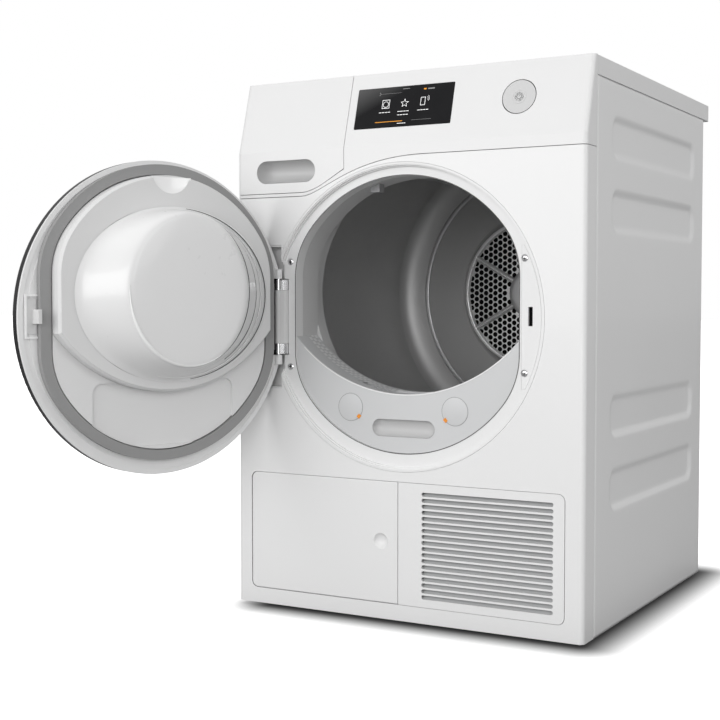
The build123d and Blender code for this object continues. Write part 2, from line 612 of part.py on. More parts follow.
def tangent_loop(circles):
    """A closed band outline round circles given anticlockwise as (x, z, r)."""
    places = []
    for (x0, z0, r0), (x1, z1, r1) in zip(circles, circles[1:] + circles[:1]):
        dist = math.hypot(x1 - x0, z1 - z0)
        heading = math.atan2(z1 - z0, x1 - x0)
        side = heading - math.acos((r0 - r1) / dist)
        reach = (math.cos(side), math.sin(side))
        start = (x0 + r0 * reach[0], z0 + r0 * reach[1])
        end = (x1 + r1 * reach[0], z1 + r1 * reach[1])
        places.append((start, end, side))
    edges = []
    for i, (start, end, side) in enumerate(places):
        following = places[(i + 1) % len(places)]
        edges.append(Line(start, end))
        x, z, r = circles[(i + 1) % len(circles)]
        turn = (following[2] - side) % (2 * math.pi)
        middle = side + turn / 2
        edges.append(ThreePointArc(end, (x + r * math.cos(middle), z + r * math.sin(middle)), following[0]))
    return make_face(Curve() + edges)


def make_drive():
    """Belt, motor with fan, and the sprung idler that keeps the belt tight."""
    circles = [(0, DRUM_Z, DRUM_R), (IDLER_X, IDLER_Z, IDLER_R), (MOTOR_X, MOTOR_Z, PULLEY_R)]
    inner = tangent_loop([(x, z, r + BELT_GAP) for x, z, r in circles])
    outer = tangent_loop([(x, z, r + BELT_GAP + BELT_T) for x, z, r in circles])
    keep("drum_belt", along_y(outer - inner, BELT_Y - BELT_W / 2, BELT_Y + BELT_W / 2))
    stator = rod_y(MOTOR_X, MOTOR_Z, 60, 20, 140) - rod_y(MOTOR_X, MOTOR_Z, 41, 26, 134)
    stator -= rod_y(MOTOR_X, MOTOR_Z, MOTOR_SHAFT_R + 0.05, 10, 150)
    for y in (30, 110):
        foot = box(MOTOR_X - 45, MOTOR_X + 45, y, y + 20, TRAY_FLOOR_Z, 86)
        stator += foot - rod_y(MOTOR_X, MOTOR_Z, 59, y - 10, y + 30)
    stator += box(ARM_X - 12, ARM_X + 14, 20, 26, 180, ARM_Z + 12) + rod_y(ARM_X, ARM_Z, 5, -30, 20)
    keep("motor_stator", stator)
    rotor = rod_y(MOTOR_X, MOTOR_Z, MOTOR_SHAFT_R, -62, 264) + rod_y(MOTOR_X, MOTOR_Z, 38, 40, 120)
    for y in (-54, -30):
        rotor += rod_y(MOTOR_X, MOTOR_Z, 14, y, y + 4)
    rotor += rod_y(MOTOR_X, MOTOR_Z, PULLEY_R, -50, -30)
    keep("motor_rotor", rotor)
    arm = rod_y(ARM_X, ARM_Z, 10, -29, -21) + rod_y(IDLER_X, IDLER_Z, 9, -29, -21)
    length = math.hypot(ARM_X - IDLER_X, ARM_Z - IDLER_Z)
    lean = math.degrees(math.atan2(IDLER_Z - ARM_Z, IDLER_X - ARM_X))
    bar = Pos(ARM_X, 0, ARM_Z) * Rot(0, -lean, 0) * box(0, length, -29, -21, -7, 7)
    arm = arm + bar - rod_y(ARM_X, ARM_Z, 5.05, -31, 0)
    arm += rod_y(IDLER_X, IDLER_Z, 4, -52, -29)
    keep("tension_arm", arm)
    idler = rod_y(IDLER_X, IDLER_Z, IDLER_R, -50, -30)
    for y in (-51.5, -32.5):
        idler += rod_y(IDLER_X, IDLER_Z, IDLER_R + 3, y, y + 3)
    keep("tension_pulley", idler - rod_y(IDLER_X, IDLER_Z, 4.05, -53, -25))


def make_fan():
    """Process-air fan wheel on the motor's shaft, in a round housing against the back."""
    wheel = rod_y(MOTOR_X, MOTOR_Z, 18, 196, 262) + rod_y(MOTOR_X, MOTOR_Z, FAN_R, 256, 259)
    for k in range(16):
        blade = box(20, FAN_R - 1, 200, 257, -1, 1)
        wheel += Pos(MOTOR_X, 0, MOTOR_Z) * Rot(0, 22.5 * k, 0) * blade
    wheel -= rod_y(MOTOR_X, MOTOR_Z, MOTOR_SHAFT_R + 0.01, 190, 266)
    keep("fan_wheel", wheel)
    case = rod_y(MOTOR_X, MOTOR_Z, 90, 186, 276) - rod_y(MOTOR_X, MOTOR_Z, 87, 189, 277)
    case -= rod_y(MOTOR_X, MOTOR_Z, 42, 185, 190)
    foot = box(MOTOR_X - 40, MOTOR_X + 40, 186, 220, TRAY_FLOOR_Z, 62)
    keep("fan_housing", case + (foot - rod_y(MOTOR_X, MOTOR_Z, 88.5, 180, 230)))


def make_heat_pump():
    """Compressor, evaporator, condenser, their cover and the copper pipes between them."""
    body = rod_z(196, -178, 66, 34, 176) + Pos(196, -178, 176) * Sphere(66)
    body = body & box(120, 270, -250, -100, 30, 192)
    body += rod_z(196, -178, 72, 28, 34) + rod_z(196, -178, 20, TRAY_FLOOR_Z, 28)
    keep("compressor", body - rod_z(196, -178, 56, 40, 168) - rod_z(196, -178, 4, 17, 41))
    for y0, y1 in (EVAPORATOR_Y, CONDENSER_Y):
        fins = box(-256, -72, y0, y1, 30, 192)
        for k in range(FINS):
            x = -256 + (k + 0.5) * 184 / FINS
            fins -= box(x - FIN_GAP / 2, x + FIN_GAP / 2, y0 - 1, y1 + 1, 33, 189)
        ends = box(-262, -256, y0, y1, 24, 198) + box(-72, -66, y0, y1, 24, 198)
        bends = []
        for k in range(5):
            z = 48 + 32 * k
            for x0, x1 in ((-268, -262), (-66, -60)):
                loop = box(x0, x1, (y0 + y1) / 2 - 14, (y0 + y1) / 2 + 14, z, z + 8)
                bends.append(loop)
        exchanger = sum(bends, fins + ends)
        for y in (y0, y1 - 6):
            exchanger += box(-262, -66, y, y + 6, TRAY_FLOOR_Z, 30)
        keep("heat_exchangers", exchanger)
    cover = box(-278, -50, -240, 60, TRAY_FLOOR_Z, 206) - box(-275, -53, -241, 61, 17, 203)
    cover -= box(-54, -49, -100, -20, 40, 120)
    keep("exchanger_cover", cover)
    to_condenser = [(196, -178, 192), (196, -178, 214), (20, -178, 214), (20, -70, 214), (20, -70, 110)]
    to_evaporator = [(-50, -46, 60), (0, -46, 60), (0, -180, 60), (-50, -180, 60)]
    back = [(-50, -196, 150), (60, -196, 150), (60, -178, 60), (130, -178, 60)]
    keep("refrigerant_pipes", pipe(to_condenser + [(-50, -70, 110)], 4, 9))
    keep("refrigerant_pipes", pipe(to_evaporator, 3, 12), pipe(back, 4, 8))


def pipe(points, r, bend):
    """A bent tube, drawn as a solid rod along straight runs and arcs."""
    path = FilletPolyline(*points, radius=bend)
    start = Plane(origin=path @ 0, z_dir=path % 0)
    return sweep(start * Circle(r), path=path)


def make_water_parts():
    """Condensate pump with its rising hose to the tank, and the drain spigot at the back."""
    pump = box(-240, -190, 170, 220, TRAY_FLOOR_Z, 70) + rod_z(-215, 195, 20, 70, 92)
    pump += rod_z(-215, 195, 6, 92, 100)
    low = [(-215, 195, 100.2), (-215, 195, 130), (-268, 258, 170)]
    high = [(-268, 258, 700), (-268, 236, 730), (-268, TANK_Y[1] + 8.2, 730)]
    keep("condensate_pump", pump, pipe(low + high, 5, 14))
    spigot = rod_y(-230, 110, 7, 250, 306) + rod_y(-230, 110, 12, 277, SIDE_BACK_Y - 1.5)
    spigot += rod_y(-230, 110, 12, SIDE_BACK_Y, 288)
    keep("drain_spigot", spigot - rod_y(-230, 110, 5, 249, 307))


def make_electrics():
    """Display board, power board and the rear mains gland with its terminal block."""
    display = extrude(slope_plane(14) * Pos(30, 60) * Rectangle(250, 74), amount=1.6)
    power = box(200, 280, -200, -20, 748, 750)
    for x in (210, 234, 258):
        for y in (-180, -130, -80):
            power += box(x, x + 16, y, y + 30, 750, 764)
    keep("circuit_boards", display, power)
    gland = rod_y(250, 300, 9, 270, 296) + rod_y(250, 300, 14, SIDE_BACK_Y, 290)
    gland -= rod_y(250, 300, 4.5, 269, 297)
    block = box(230, 270, 262, 281, 330, 366)
    keep("mains_gland", gland, block)


def make_base():
    """Moulded base tray with its feet."""
    tray = box(-295, 295, -272, 280.6, TRAY_Z, 58) - box(-292, 292, -269, 277.6, TRAY_FLOOR_Z, 60)
    feet = []
    for x in (-FOOT_X, FOOT_X):
        for y in (-FOOT_Y, FOOT_Y):
            tray -= rod_z(x, y, STUD_R + 0.05, TRAY_Z - 1, TRAY_FLOOR_Z + 1)
            pad = rod_z(x, y, 20, 0, 7) + rod_z(x, y, STUD_R, 7, 30)
            nut = Pos(x, y, 11.5) * extrude(RegularPolygon(9, 6), amount=2.4)
            feet.append(pad + nut)
    keep("base_tray", tray)
    keep("feet", *feet)


def door_shell():
    """Gloss black outer door ring with a hole for the glass."""
    back = DOOR_Y - DOOR_FRAME_T
    front = back - DOOR_SHELL_T
    ring = rod_y(0, DOOR_Z, DOOR_R, front, back)
    ring = fillet(ring.edges().sort_by(Axis.Y)[0], 5)
    ring -= rod_y(0, DOOR_Z, 176, front - 1, back + 1)
    ring -= rod_y(0, DOOR_Z, DOOR_R - 4, front + 4, back + 1) - rod_y(0, DOOR_Z, 180, front, back + 2)
    ring += rod_y(0, DOOR_Z, 186, front + 4, back) - rod_y(0, DOOR_Z, 182.5, front, back + 2)
    ring -= rod_y(0, DOOR_Z, 182.5, front + 4, back + 1)
    ring -= box(-240, -224, front - 1, back + 1, DOOR_Z - NOTCH_H, DOOR_Z + NOTCH_H)
    return ring


def door_glass():
    back = DOOR_Y - DOOR_FRAME_T - DOOR_SHELL_T + 4
    return rod_y(0, DOOR_Z, 182, back, back + 4) + rod_y(0, DOOR_Z, 175.6, back - 3.4, back)


def door_frame():
    """White inner ring of the door with the lugs that hold the hinge pins."""
    back = DOOR_Y - DOOR_FRAME_T
    plan = disc(0, DOOR_Z, DOOR_R) - port(PLATEAU_R + 0.5, PLATEAU_SIDE + 0.5, SEAL_Z)
    plan -= rect(-240, -206, DOOR_Z - NOTCH_H, DOOR_Z + NOTCH_H)
    ring = along_y(plan, back, DOOR_Y)
    step = rod_y(0, DOOR_Z, DOOR_R - 7, DOOR_Y - 1, DOOR_Y + 1)
    ring -= step - rod_y(0, DOOR_Z, 219, DOOR_Y - 2, DOOR_Y + 2)
    for z0 in (DOOR_Z - NOTCH_H - 15, DOOR_Z + NOTCH_H):
        ring += rod_z(HINGE_X, HINGE_Y, 5.5, z0, z0 + 15)
        ring += box(HINGE_X - 5, HINGE_X + 5.5, back, HINGE_Y, z0, z0 + 15)
    return ring - rod_z(HINGE_X, HINGE_Y, PIN_R, DOOR_Z - 75, DOOR_Z + 75)


def hinge_pins():
    low = rod_z(HINGE_X, HINGE_Y, PIN_R, DOOR_Z - NOTCH_H - 14, DOOR_Z + KNUCKLE_Z[0] + 8)
    high = rod_z(HINGE_X, HINGE_Y, PIN_R, DOOR_Z + KNUCKLE_Z[1] - 8, DOOR_Z + NOTCH_H + 14)
    return [low, high]


def door_seal():
    """Rubber seal that follows the port's edge."""
    plan = port(220, 205, SEAL_Z) - port(204.8, 188, SEAL_Z)
    return along_y(plan, DOOR_Y, DOOR_Y + 10)


def plateau_plan(shrink=0):
    bottom = disc(0, 603.5, 240 - shrink)
    return port(PLATEAU_R - shrink, PLATEAU_SIDE - shrink, SEAL_Z) & bottom


def bowl_ellipse(x, z, rx, rz):
    return Pos(x, z) * Ellipse(rx, rz)


def inner_panel():
    """Raised panel of the door's inside, open where the bowl stands, with a scoop at its top."""
    top = DOOR_Y + PLATEAU
    body = along_y(plateau_plan(), DOOR_Y - DOOR_FRAME_T, top - 4)
    lip = loft([Plane.XZ.offset(-top + 4) * plateau_plan(), Plane.XZ.offset(-top) * plateau_plan(3.5)])
    body += lip
    hollow = offset(plateau_plan(), -3, kind=Kind.INTERSECTION)
    body -= along_y(hollow, DOOR_Y - DOOR_FRAME_T - 1, top - 8)
    body -= along_y(bowl_ellipse(*BOWL_BASE), DOOR_Y - 10, top + 1)
    scoop = along_y(disc(0, 690, 34) & rect(-40, 40, 640, 690), top - 5, top + 1)
    return body - scoop


def lower_panel():
    """Lower part of the door's inside, set back, with a broad shallow pocket."""
    plan = port(PLATEAU_R, PLATEAU_SIDE, SEAL_Z) - disc(0, 603.5, 240.3)
    front = DOOR_Y + 9
    body = along_y(plan, front - 7, front)
    body -= along_y(rect(-123.5, 123.5, 283, 378, 14), front - 4, front + 1)
    return body


def door_bowl():
    """Clear bowl that reaches into the drum's mouth."""
    def skin(inset):
        base = DOOR_Y + PLATEAU - 8
        x, z, rx, rz = BOWL_BASE
        cx, cz, crx, crz = BOWL_CROWN
        rings = [
            (base, x, z, rx - 0.3, rz - 0.3),
            (DOOR_Y + PLATEAU + 14, x - 0.5, z + 1, rx - 10, rz - 2.5),
            (DOOR_Y + CROWN - 14, cx + 3, cz - 1, crx + 24, crz + 6),
            (DOOR_Y + CROWN - inset, cx, cz, crx, crz),
        ]
        faces = [Plane.XZ.offset(-y) * bowl_ellipse(a, b, c - inset, d - inset) for y, a, b, c, d in rings]
        return loft(faces)

    return skin(0) - skin(3)


def latch():
    """Latch plate on the free side with the hook that enters the lock."""
    z = DOOR_Z + 4
    plate = box(206.5, 221, DOOR_Y - 2, DOOR_Y + 1.5, z - 25, z + 25) & rod_y(0, DOOR_Z, 226, -330, -290)
    stem = box(208.6, 212.6, DOOR_Y + 1.5, DOOR_Y + 20, z - 10, z + 10)
    nose = box(207.6, 208.6, DOOR_Y + 14, DOOR_Y + 20, z - 10, z + 10)
    return plate + stem + nose


def make_door():
    """All pieces on the door, drawn shut and swung open about the hinge pin."""
    seat = box(206.4, 221.2, DOOR_Y - 2.1, DOOR_Y + 2, DOOR_Z - 21.2, DOOR_Z + 29.2)
    pieces = {
        "door_shell": [door_shell()],
        "door_glass": [door_glass()],
        "door_frame": [door_frame() - seat],
        "hinge_pins": hinge_pins(),
        "door_seal": [door_seal()],
        "door_inner_panel": [inner_panel()],
        "door_lower_panel": [lower_panel()],
        "door_bowl": [door_bowl()],
        "door_latch": [latch()],
    }
    pin = Axis((HINGE_X, HINGE_Y, 0), (0, 0, 1))
    for name, shapes in pieces.items():
        keep(name, *[shape.rotate(pin, -DOOR_OPEN) for shape in shapes])


def main():
    shell = head_shell()
    make_fascia(shell)
    make_button()
    make_tank(shell)
    make_worktop()
    make_side_panels()
    make_rear()
    make_front_panel()
    make_bezel()
    make_lock()
    make_hinge()
    make_grille()
    make_flap()
    make_plinth_filter()
    make_shield()
    make_rollers()
    make_filter_housing()
    make_lint_filter()
    make_drum_light()
    make_drum()
    make_bearing_and_felts()
    make_drive()
    make_fan()
    make_heat_pump()
    make_water_parts()
    make_electrics()
    make_base()
    make_door()
    os.makedirs("parts", exist_ok=True)
    for name, solids in NODES.items():
        shape = solids[0] if len(solids) == 1 else Compound(solids)
        export_step(shape, f"parts/{name}.step")


main()
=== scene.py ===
"""Clothes dryer: finishes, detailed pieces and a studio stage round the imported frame."""

import math

import bmesh
import bpy
from bpy.props import FloatProperty, FloatVectorProperty, IntProperty, PointerProperty
from mathutils import Matrix, Vector


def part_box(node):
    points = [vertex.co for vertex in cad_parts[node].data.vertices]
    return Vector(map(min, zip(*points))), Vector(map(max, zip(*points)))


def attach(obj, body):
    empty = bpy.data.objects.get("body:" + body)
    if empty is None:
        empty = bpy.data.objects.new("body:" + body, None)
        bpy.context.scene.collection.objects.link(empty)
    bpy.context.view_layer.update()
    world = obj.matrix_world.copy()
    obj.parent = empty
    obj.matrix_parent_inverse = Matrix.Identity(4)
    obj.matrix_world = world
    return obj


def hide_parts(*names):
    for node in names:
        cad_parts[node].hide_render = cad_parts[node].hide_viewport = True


bl_info = {
    "name": "Clothes Dryer",
    "version": (1, 0, 0),
    "blender": (4, 5, 0),
    "location": "3D View > Sidebar > Dryer",
    "description": "Makes the finishes and detailed pieces of a heat-pump clothes dryer",
    "category": "Object",
}

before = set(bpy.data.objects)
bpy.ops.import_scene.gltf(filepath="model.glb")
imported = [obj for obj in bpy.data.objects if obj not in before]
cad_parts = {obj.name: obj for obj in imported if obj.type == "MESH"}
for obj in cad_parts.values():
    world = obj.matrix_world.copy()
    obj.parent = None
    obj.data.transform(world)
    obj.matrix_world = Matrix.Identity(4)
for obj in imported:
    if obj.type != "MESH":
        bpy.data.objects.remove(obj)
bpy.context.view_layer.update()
MM = 0.001

# Where the frame puts things, in millimetres
DOOR_Y = -318.5
PIN = Vector((-220.1, -315.8, 0))
DOOR_TURN = (Matrix.Translation(PIN * MM) @ Matrix.Rotation(math.radians(-109), 4, "Z")
             @ Matrix.Translation(-PIN * MM))
SHEET = 1.2
DRUM_Z = 512
DRUM_R = 285
SHOULDER_Y = 214
REAR_FLAT_Y = 240
PLATE_R = 138
PLATE_Y = 217
CRESCENT_Z = 612
CRESCENT_R = 257.6

# The port's outline is a circle cut off at both sides, with arcs in the corners
PORT_Z = 476
PORT_CUT = 20
PORT_SOFT = 93

# Side beads: their heights, common middle, half length, half width and corner radius
SIDE_X = 298
BEAD_HEIGHTS = (214, 325, 631, 740)
BEAD_Y = 8.5
BEAD_LONG = 218
BEAD_WIDE = 33
BEAD_R = 24

# The grille's louvres: how many, where the lowest and highest end, the height of one, and a slat's width
LOUVRES = 18
LOUVRE_LOW = 43.8
LOUVRE_HIGH = 207.2
LOUVRE_H = 6.2
SLAT_X = (38, 252)

# The round sockets of the crescent and the front ring's screws
SOCKETS = {"left": -93, "right": 88}
SOCKET_Z = 331.3
SCREW_PLACES = ((201, 560), (201, 392), (-203, 560), (-203, 392))


# ---------------------------------------------------------------- finishes

def new_material(name):
    material = bpy.data.materials.new(name)
    material.use_nodes = True
    tree = material.node_tree
    return material, tree, tree.nodes["Principled BSDF"]


def noise(tree, source, scale, detail=3.0, rough=0.5):
    node = tree.nodes.new("ShaderNodeTexNoise")
    node.inputs["Scale"].default_value = scale
    node.inputs["Detail"].default_value = detail
    node.inputs["Roughness"].default_value = rough
    tree.links.new(source, node.inputs["Vector"])
    return node.outputs["Fac"]


def spread(tree, source, low, high):
    node = tree.nodes.new("ShaderNodeMapRange")
    node.inputs["From Min"].default_value = 0.3
    node.inputs["From Max"].default_value = 0.7
    node.inputs["To Min"].default_value = low
    node.inputs["To Max"].default_value = high
    tree.links.new(source, node.inputs["Value"])
    return node.outputs["Result"]


def finish(name, colour, rough, metallic=0.0, grain=700, depth=0.02, tint=0.015, wear=0.05, streak=(1, 1, 1),
           coat=0.0, specular=0.5, glow=0.0):
    """A surface with fine grain, soft unevenness of colour and roughness, and optional streaks."""
    material, tree, shader = new_material(name)
    place = tree.nodes.new("ShaderNodeTexCoord").outputs["Object"]
    stretch = tree.nodes.new("ShaderNodeMapping")
    stretch.inputs["Scale"].default_value = streak
    tree.links.new(place, stretch.inputs["Vector"])
    fine = noise(tree, stretch.outputs["Vector"], grain)
    broad = noise(tree, place, 5.0, 2.0)
    shade = tree.nodes.new("ShaderNodeMix")
    shade.data_type = "RGBA"
    shade.inputs[6].default_value = (*[c * (1 - tint) for c in colour], 1)
    shade.inputs[7].default_value = (*[min(1, c * (1 + tint)) for c in colour], 1)
    tree.links.new(broad, shade.inputs[0])
    tree.links.new(shade.outputs[2], shader.inputs["Base Color"])
    both = tree.nodes.new("ShaderNodeMath")
    both.operation = "MULTIPLY_ADD"
    both.inputs[1].default_value = 0.5
    tree.links.new(fine, both.inputs[0])
    half = tree.nodes.new("ShaderNodeMath")
    half.operation = "MULTIPLY"
    half.inputs[1].default_value = 0.5
    tree.links.new(broad, half.inputs[0])
    tree.links.new(half.outputs[0], both.inputs[2])
    worn = spread(tree, both.outputs[0], max(0.02, rough - wear), rough + wear)
    tree.links.new(worn, shader.inputs["Roughness"])
    bump = tree.nodes.new("ShaderNodeBump")
    bump.inputs["Strength"].default_value = 0.5
    bump.inputs["Distance"].default_value = depth * MM
    tree.links.new(fine, bump.inputs["Height"])
    tree.links.new(bump.outputs["Normal"], shader.inputs["Normal"])
    shader.inputs["Metallic"].default_value = metallic
    shader.inputs["Coat Weight"].default_value = coat
    shader.inputs["Coat Roughness"].default_value = 0.06
    shader.inputs["IOR"].default_value = 1.5
    shader.inputs["Specular IOR Level"].default_value = specular
    if glow:
        shader.inputs["Emission Color"].default_value = (*colour, 1)
        shader.inputs["Emission Strength"].default_value = glow
    return material


# The display's painted glare: a painted reflection whose brightness falls to none towards the lower right, at
# these rates per metre
PAINTED_GLARE_RATE = (-4.2, 0, 9.0)
PAINTED_GLARE_START = (-0.29, 0, -7.08)


def display_finish():
    """Black glass whose upper left corner is a little lighter, a painted reflection."""
    material, tree, shader = new_material("display_glass")
    place = tree.nodes.new("ShaderNodeTexCoord").outputs["Object"]
    turn = tree.nodes.new("ShaderNodeMapping")
    turn.vector_type = "POINT"
    turn.inputs["Location"].default_value = PAINTED_GLARE_START
    turn.inputs["Scale"].default_value = PAINTED_GLARE_RATE
    tree.links.new(place, turn.inputs["Vector"])
    length = tree.nodes.new("ShaderNodeSeparateXYZ")
    tree.links.new(turn.outputs["Vector"], length.inputs["Vector"])
    total = tree.nodes.new("ShaderNodeMath")
    total.operation = "ADD"
    tree.links.new(length.outputs["X"], total.inputs[0])
    tree.links.new(length.outputs["Z"], total.inputs[1])
    # The ramp paints the reflection into the glass's colour.
    ramp = tree.nodes.new("ShaderNodeValToRGB")
    ramp.color_ramp.elements[0].position = 0.0
    ramp.color_ramp.elements[0].color = (0.006, 0.006, 0.007, 1)
    ramp.color_ramp.elements[1].position = 1.0
    ramp.color_ramp.elements[1].color = (0.24, 0.24, 0.24, 1)
    tree.links.new(total.outputs[0], ramp.inputs["Fac"])
    tree.links.new(ramp.outputs["Color"], shader.inputs["Base Color"])
    smudge = noise(tree, place, 30.0)
    tree.links.new(spread(tree, smudge, 0.12, 0.2), shader.inputs["Roughness"])
    shader.inputs["Specular IOR Level"].default_value = 0.3
    return material


WHITE = (0.80, 0.80, 0.80)
FINISHES = {
    "white_enamel": dict(colour=WHITE, rough=0.34, grain=260, depth=0.012, coat=0.15),
    "white_moulding": dict(colour=(0.79, 0.79, 0.79), rough=0.38, grain=900, depth=0.008),
    "worktop_white": dict(colour=(0.78, 0.78, 0.78), rough=0.42, grain=500, depth=0.02),
    "pale_grey_moulding": dict(colour=(0.60, 0.605, 0.61), rough=0.36, grain=1100, depth=0.008),
    "panel_grey": dict(colour=(0.72, 0.72, 0.72), rough=0.5, grain=1100, depth=0.006, specular=0.3),
    "panel_low": dict(colour=(0.76, 0.76, 0.76), rough=0.5, grain=1100, depth=0.006, specular=0.3),
    "mid_grey_moulding": dict(colour=(0.66, 0.66, 0.66), rough=0.45, grain=900, depth=0.015),
    "throat_grey": dict(colour=(0.62, 0.62, 0.62), rough=0.42, grain=900, depth=0.01),
    "dark_moulding": dict(colour=(0.02, 0.02, 0.022), rough=0.5, grain=900, depth=0.02),
    "black_gloss": dict(colour=(0.008, 0.008, 0.009), rough=0.3, grain=200, depth=0.002, coat=0.1,
                        specular=0.3),
    "tinted_glass": dict(colour=(0.01, 0.01, 0.012), rough=0.06, grain=60, depth=0.002, coat=0.3),
    "clear_bowl": dict(colour=(0.80, 0.80, 0.80), rough=0.28, grain=90, depth=0.0005, coat=0.4, wear=0.01),
    # Painted dark lines for the bowl, and a bright white that paints the bowl's glints and the scoop's
    # highlight and is the latch bars' own white
    "bowl_painted_dark_line": dict(colour=(0.05, 0.05, 0.05), rough=0.2, grain=300, depth=0.002, coat=0.5),
    "white_and_painted_glint": dict(colour=(0.92, 0.92, 0.92), rough=0.15, grain=300, depth=0.002, coat=0.5),
    # A dark band painted where a seam's shade falls.
    "painted_seam_shade": dict(colour=(0.10, 0.10, 0.10), rough=0.6, grain=300, depth=0.005),
    "button_grey": dict(colour=(0.62, 0.62, 0.62), rough=0.36, grain=900, depth=0.005),
    # A grey darker than the mouldings: painted shade in the grips' hollows.
    "painted_hollow_shade": dict(colour=(0.54, 0.54, 0.54), rough=0.4, grain=900, depth=0.005),
    "dish_steel": dict(colour=(0.52, 0.52, 0.52), rough=0.45, metallic=0.35, grain=600, depth=0.006,
                       wear=0.06),
    # A darker copy of the drum's steel: painted shade.
    "painted_shade_steel": dict(colour=(0.40, 0.40, 0.40), rough=0.5, metallic=0.1, grain=600, depth=0.006, wear=0.06),
    "stainless": dict(colour=(0.62, 0.62, 0.625), rough=0.42, metallic=1.0, grain=700, depth=0.006,
                      streak=(0.05, 1, 1), wear=0.07),
    "drum_steel": dict(colour=(0.55, 0.55, 0.55), rough=0.45, metallic=0.35, grain=600, depth=0.008,
                       streak=(1, 0.04, 1), wear=0.06),
    "bright_steel": dict(colour=(0.96, 0.96, 0.96), rough=0.3, metallic=0.9, grain=900, depth=0.004,
                         wear=0.08),
    "galvanised": dict(colour=(0.55, 0.56, 0.57), rough=0.42, metallic=0.8, grain=160, depth=0.02, tint=0.12,
                       wear=0.1),
    "bright_chrome": dict(colour=(0.72, 0.72, 0.73), rough=0.16, metallic=1.0, grain=500, depth=0.003),
    "seal_rubber": dict(colour=(0.30, 0.30, 0.30), rough=0.62, grain=1200, depth=0.02, wear=0.08),
    "black_rubber": dict(colour=(0.018, 0.018, 0.018), rough=0.7, grain=1200, depth=0.03, wear=0.1),
    "copper": dict(colour=(0.72, 0.36, 0.22), rough=0.3, metallic=1.0, grain=400, depth=0.01, tint=0.1),
    "fin_aluminium": dict(colour=(0.7, 0.71, 0.72), rough=0.35, metallic=1.0, grain=900, depth=0.01),
    "pressed_felt": dict(colour=(0.45, 0.42, 0.38), rough=0.92, grain=1500, depth=0.15, tint=0.1,
                         specular=0.2),
    "board_green": dict(colour=(0.03, 0.16, 0.06), rough=0.4, grain=500, depth=0.02),
    "black_paint": dict(colour=(0.015, 0.015, 0.015), rough=0.4, grain=300, depth=0.02),
    # Flat black for the screws' cross recesses: painted shade.
    "painted_slot_shade": dict(colour=(0.004, 0.004, 0.004), rough=0.8, grain=300, depth=0.01, specular=0.1),
    "hole_shadow": dict(colour=(0.006, 0.006, 0.006), rough=0.9, grain=300, depth=0.01, specular=0.05),
    # Mid grey for the slats behind the white grille: painted shade.
    "louvre_painted_shade": dict(colour=(0.50, 0.505, 0.51), rough=0.5, grain=900, depth=0.01),
    "icon_white": dict(colour=(0.85, 0.85, 0.85), rough=0.5, grain=900, depth=0.002, glow=0.55),
    "icon_grey": dict(colour=(0.22, 0.22, 0.22), rough=0.5, grain=900, depth=0.002, glow=0.35),
    "icon_orange": dict(colour=(0.75, 0.30, 0.02), rough=0.5, grain=900, depth=0.002, glow=0.5),
    "mark_orange": dict(colour=(0.80, 0.27, 0.01), rough=0.4, grain=900, depth=0.005),
    "mark_grey": dict(colour=(0.33, 0.33, 0.335), rough=0.45, grain=900, depth=0.005),
}
MATERIALS = {}


def material(name):
    if name not in MATERIALS:
        MATERIALS[name] = display_finish() if name == "display_glass" else finish(name, **FINISHES[name])
    return MATERIALS[name]


NODE_FINISH = {
    "air_grille": "white_moulding", "base_tray": "mid_grey_moulding", "circuit_boards": "board_green",
    "compressor": "black_paint", "condensate_pump": "dark_moulding", "display_glass": "display_glass",
    "door_bowl": "clear_bowl", "door_frame": "white_moulding", "door_glass": "tinted_glass",
    "door_inner_panel": "panel_grey", "door_latch": "mid_grey_moulding", "door_lower_panel": "panel_low",
    "door_seal": "seal_rubber", "door_shell": "black_gloss", "drain_spigot": "dark_moulding",
    "drum_belt": "black_rubber", "drum_felts": "pressed_felt", "drum_lifters": "stainless",
    "drum_light": "mark_grey", "drum_rear": "stainless", "drum_shaft": "galvanised",
    "drum_shell": "drum_steel",
    "exchanger_cover": "mid_grey_moulding", "fan_housing": "dark_moulding", "fan_wheel": "dark_moulding",
    "fascia": "white_moulding", "feet": "black_rubber", "filter_housing": "pale_grey_moulding",
    "flap_hinge": "white_moulding", "front_panel": "white_enamel", "front_shield": "throat_grey",
    "heat_exchangers": "fin_aluminium", "hinge_bracket": "bright_chrome", "hinge_cover": "mid_grey_moulding",
    "hinge_pins": "bright_chrome", "lint_filter": "pale_grey_moulding", "lock_module": "dark_moulding",
    "lock_plate": "white_moulding", "mains_gland": "dark_moulding", "motor_rotor": "galvanised",
    "motor_stator": "black_paint", "plinth_filter": "dark_moulding", "port_bezel": "white_moulding",
    "power_button": "button_grey", "rear_bearing": "galvanised", "rear_duct_cover": "galvanised",
    "rear_panel": "galvanised", "refrigerant_pipes": "copper", "ring_screws": "bright_chrome",
    "roller_left": "black_rubber", "roller_right": "black_rubber", "service_flap": "white_moulding",
    "side_panel_left": "white_enamel", "side_panel_right": "white_enamel", "tank_front": "white_moulding",
    "tank_housing": "mid_grey_moulding", "tension_arm": "galvanised", "tension_pulley": "dark_moulding",
    "water_tank": "pale_grey_moulding", "worktop": "worktop_white",
}


# ---------------------------------------------------------------- mesh helpers

def add_piece(name, mesh, finish_name, body, replaced=(), sharp=35):
    """A finished piece that rides on a body and may stand for frame nodes."""
    if finish_name:
        mesh.materials.clear()
        mesh.materials.append(material(finish_name))
    mesh.shade_smooth()
    mesh.set_sharp_from_angle(angle=math.radians(sharp))
    piece = bpy.data.objects.new(name, mesh)
    bpy.context.scene.collection.objects.link(piece)
    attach(piece, body)
    if replaced:
        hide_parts(*replaced)
    return piece


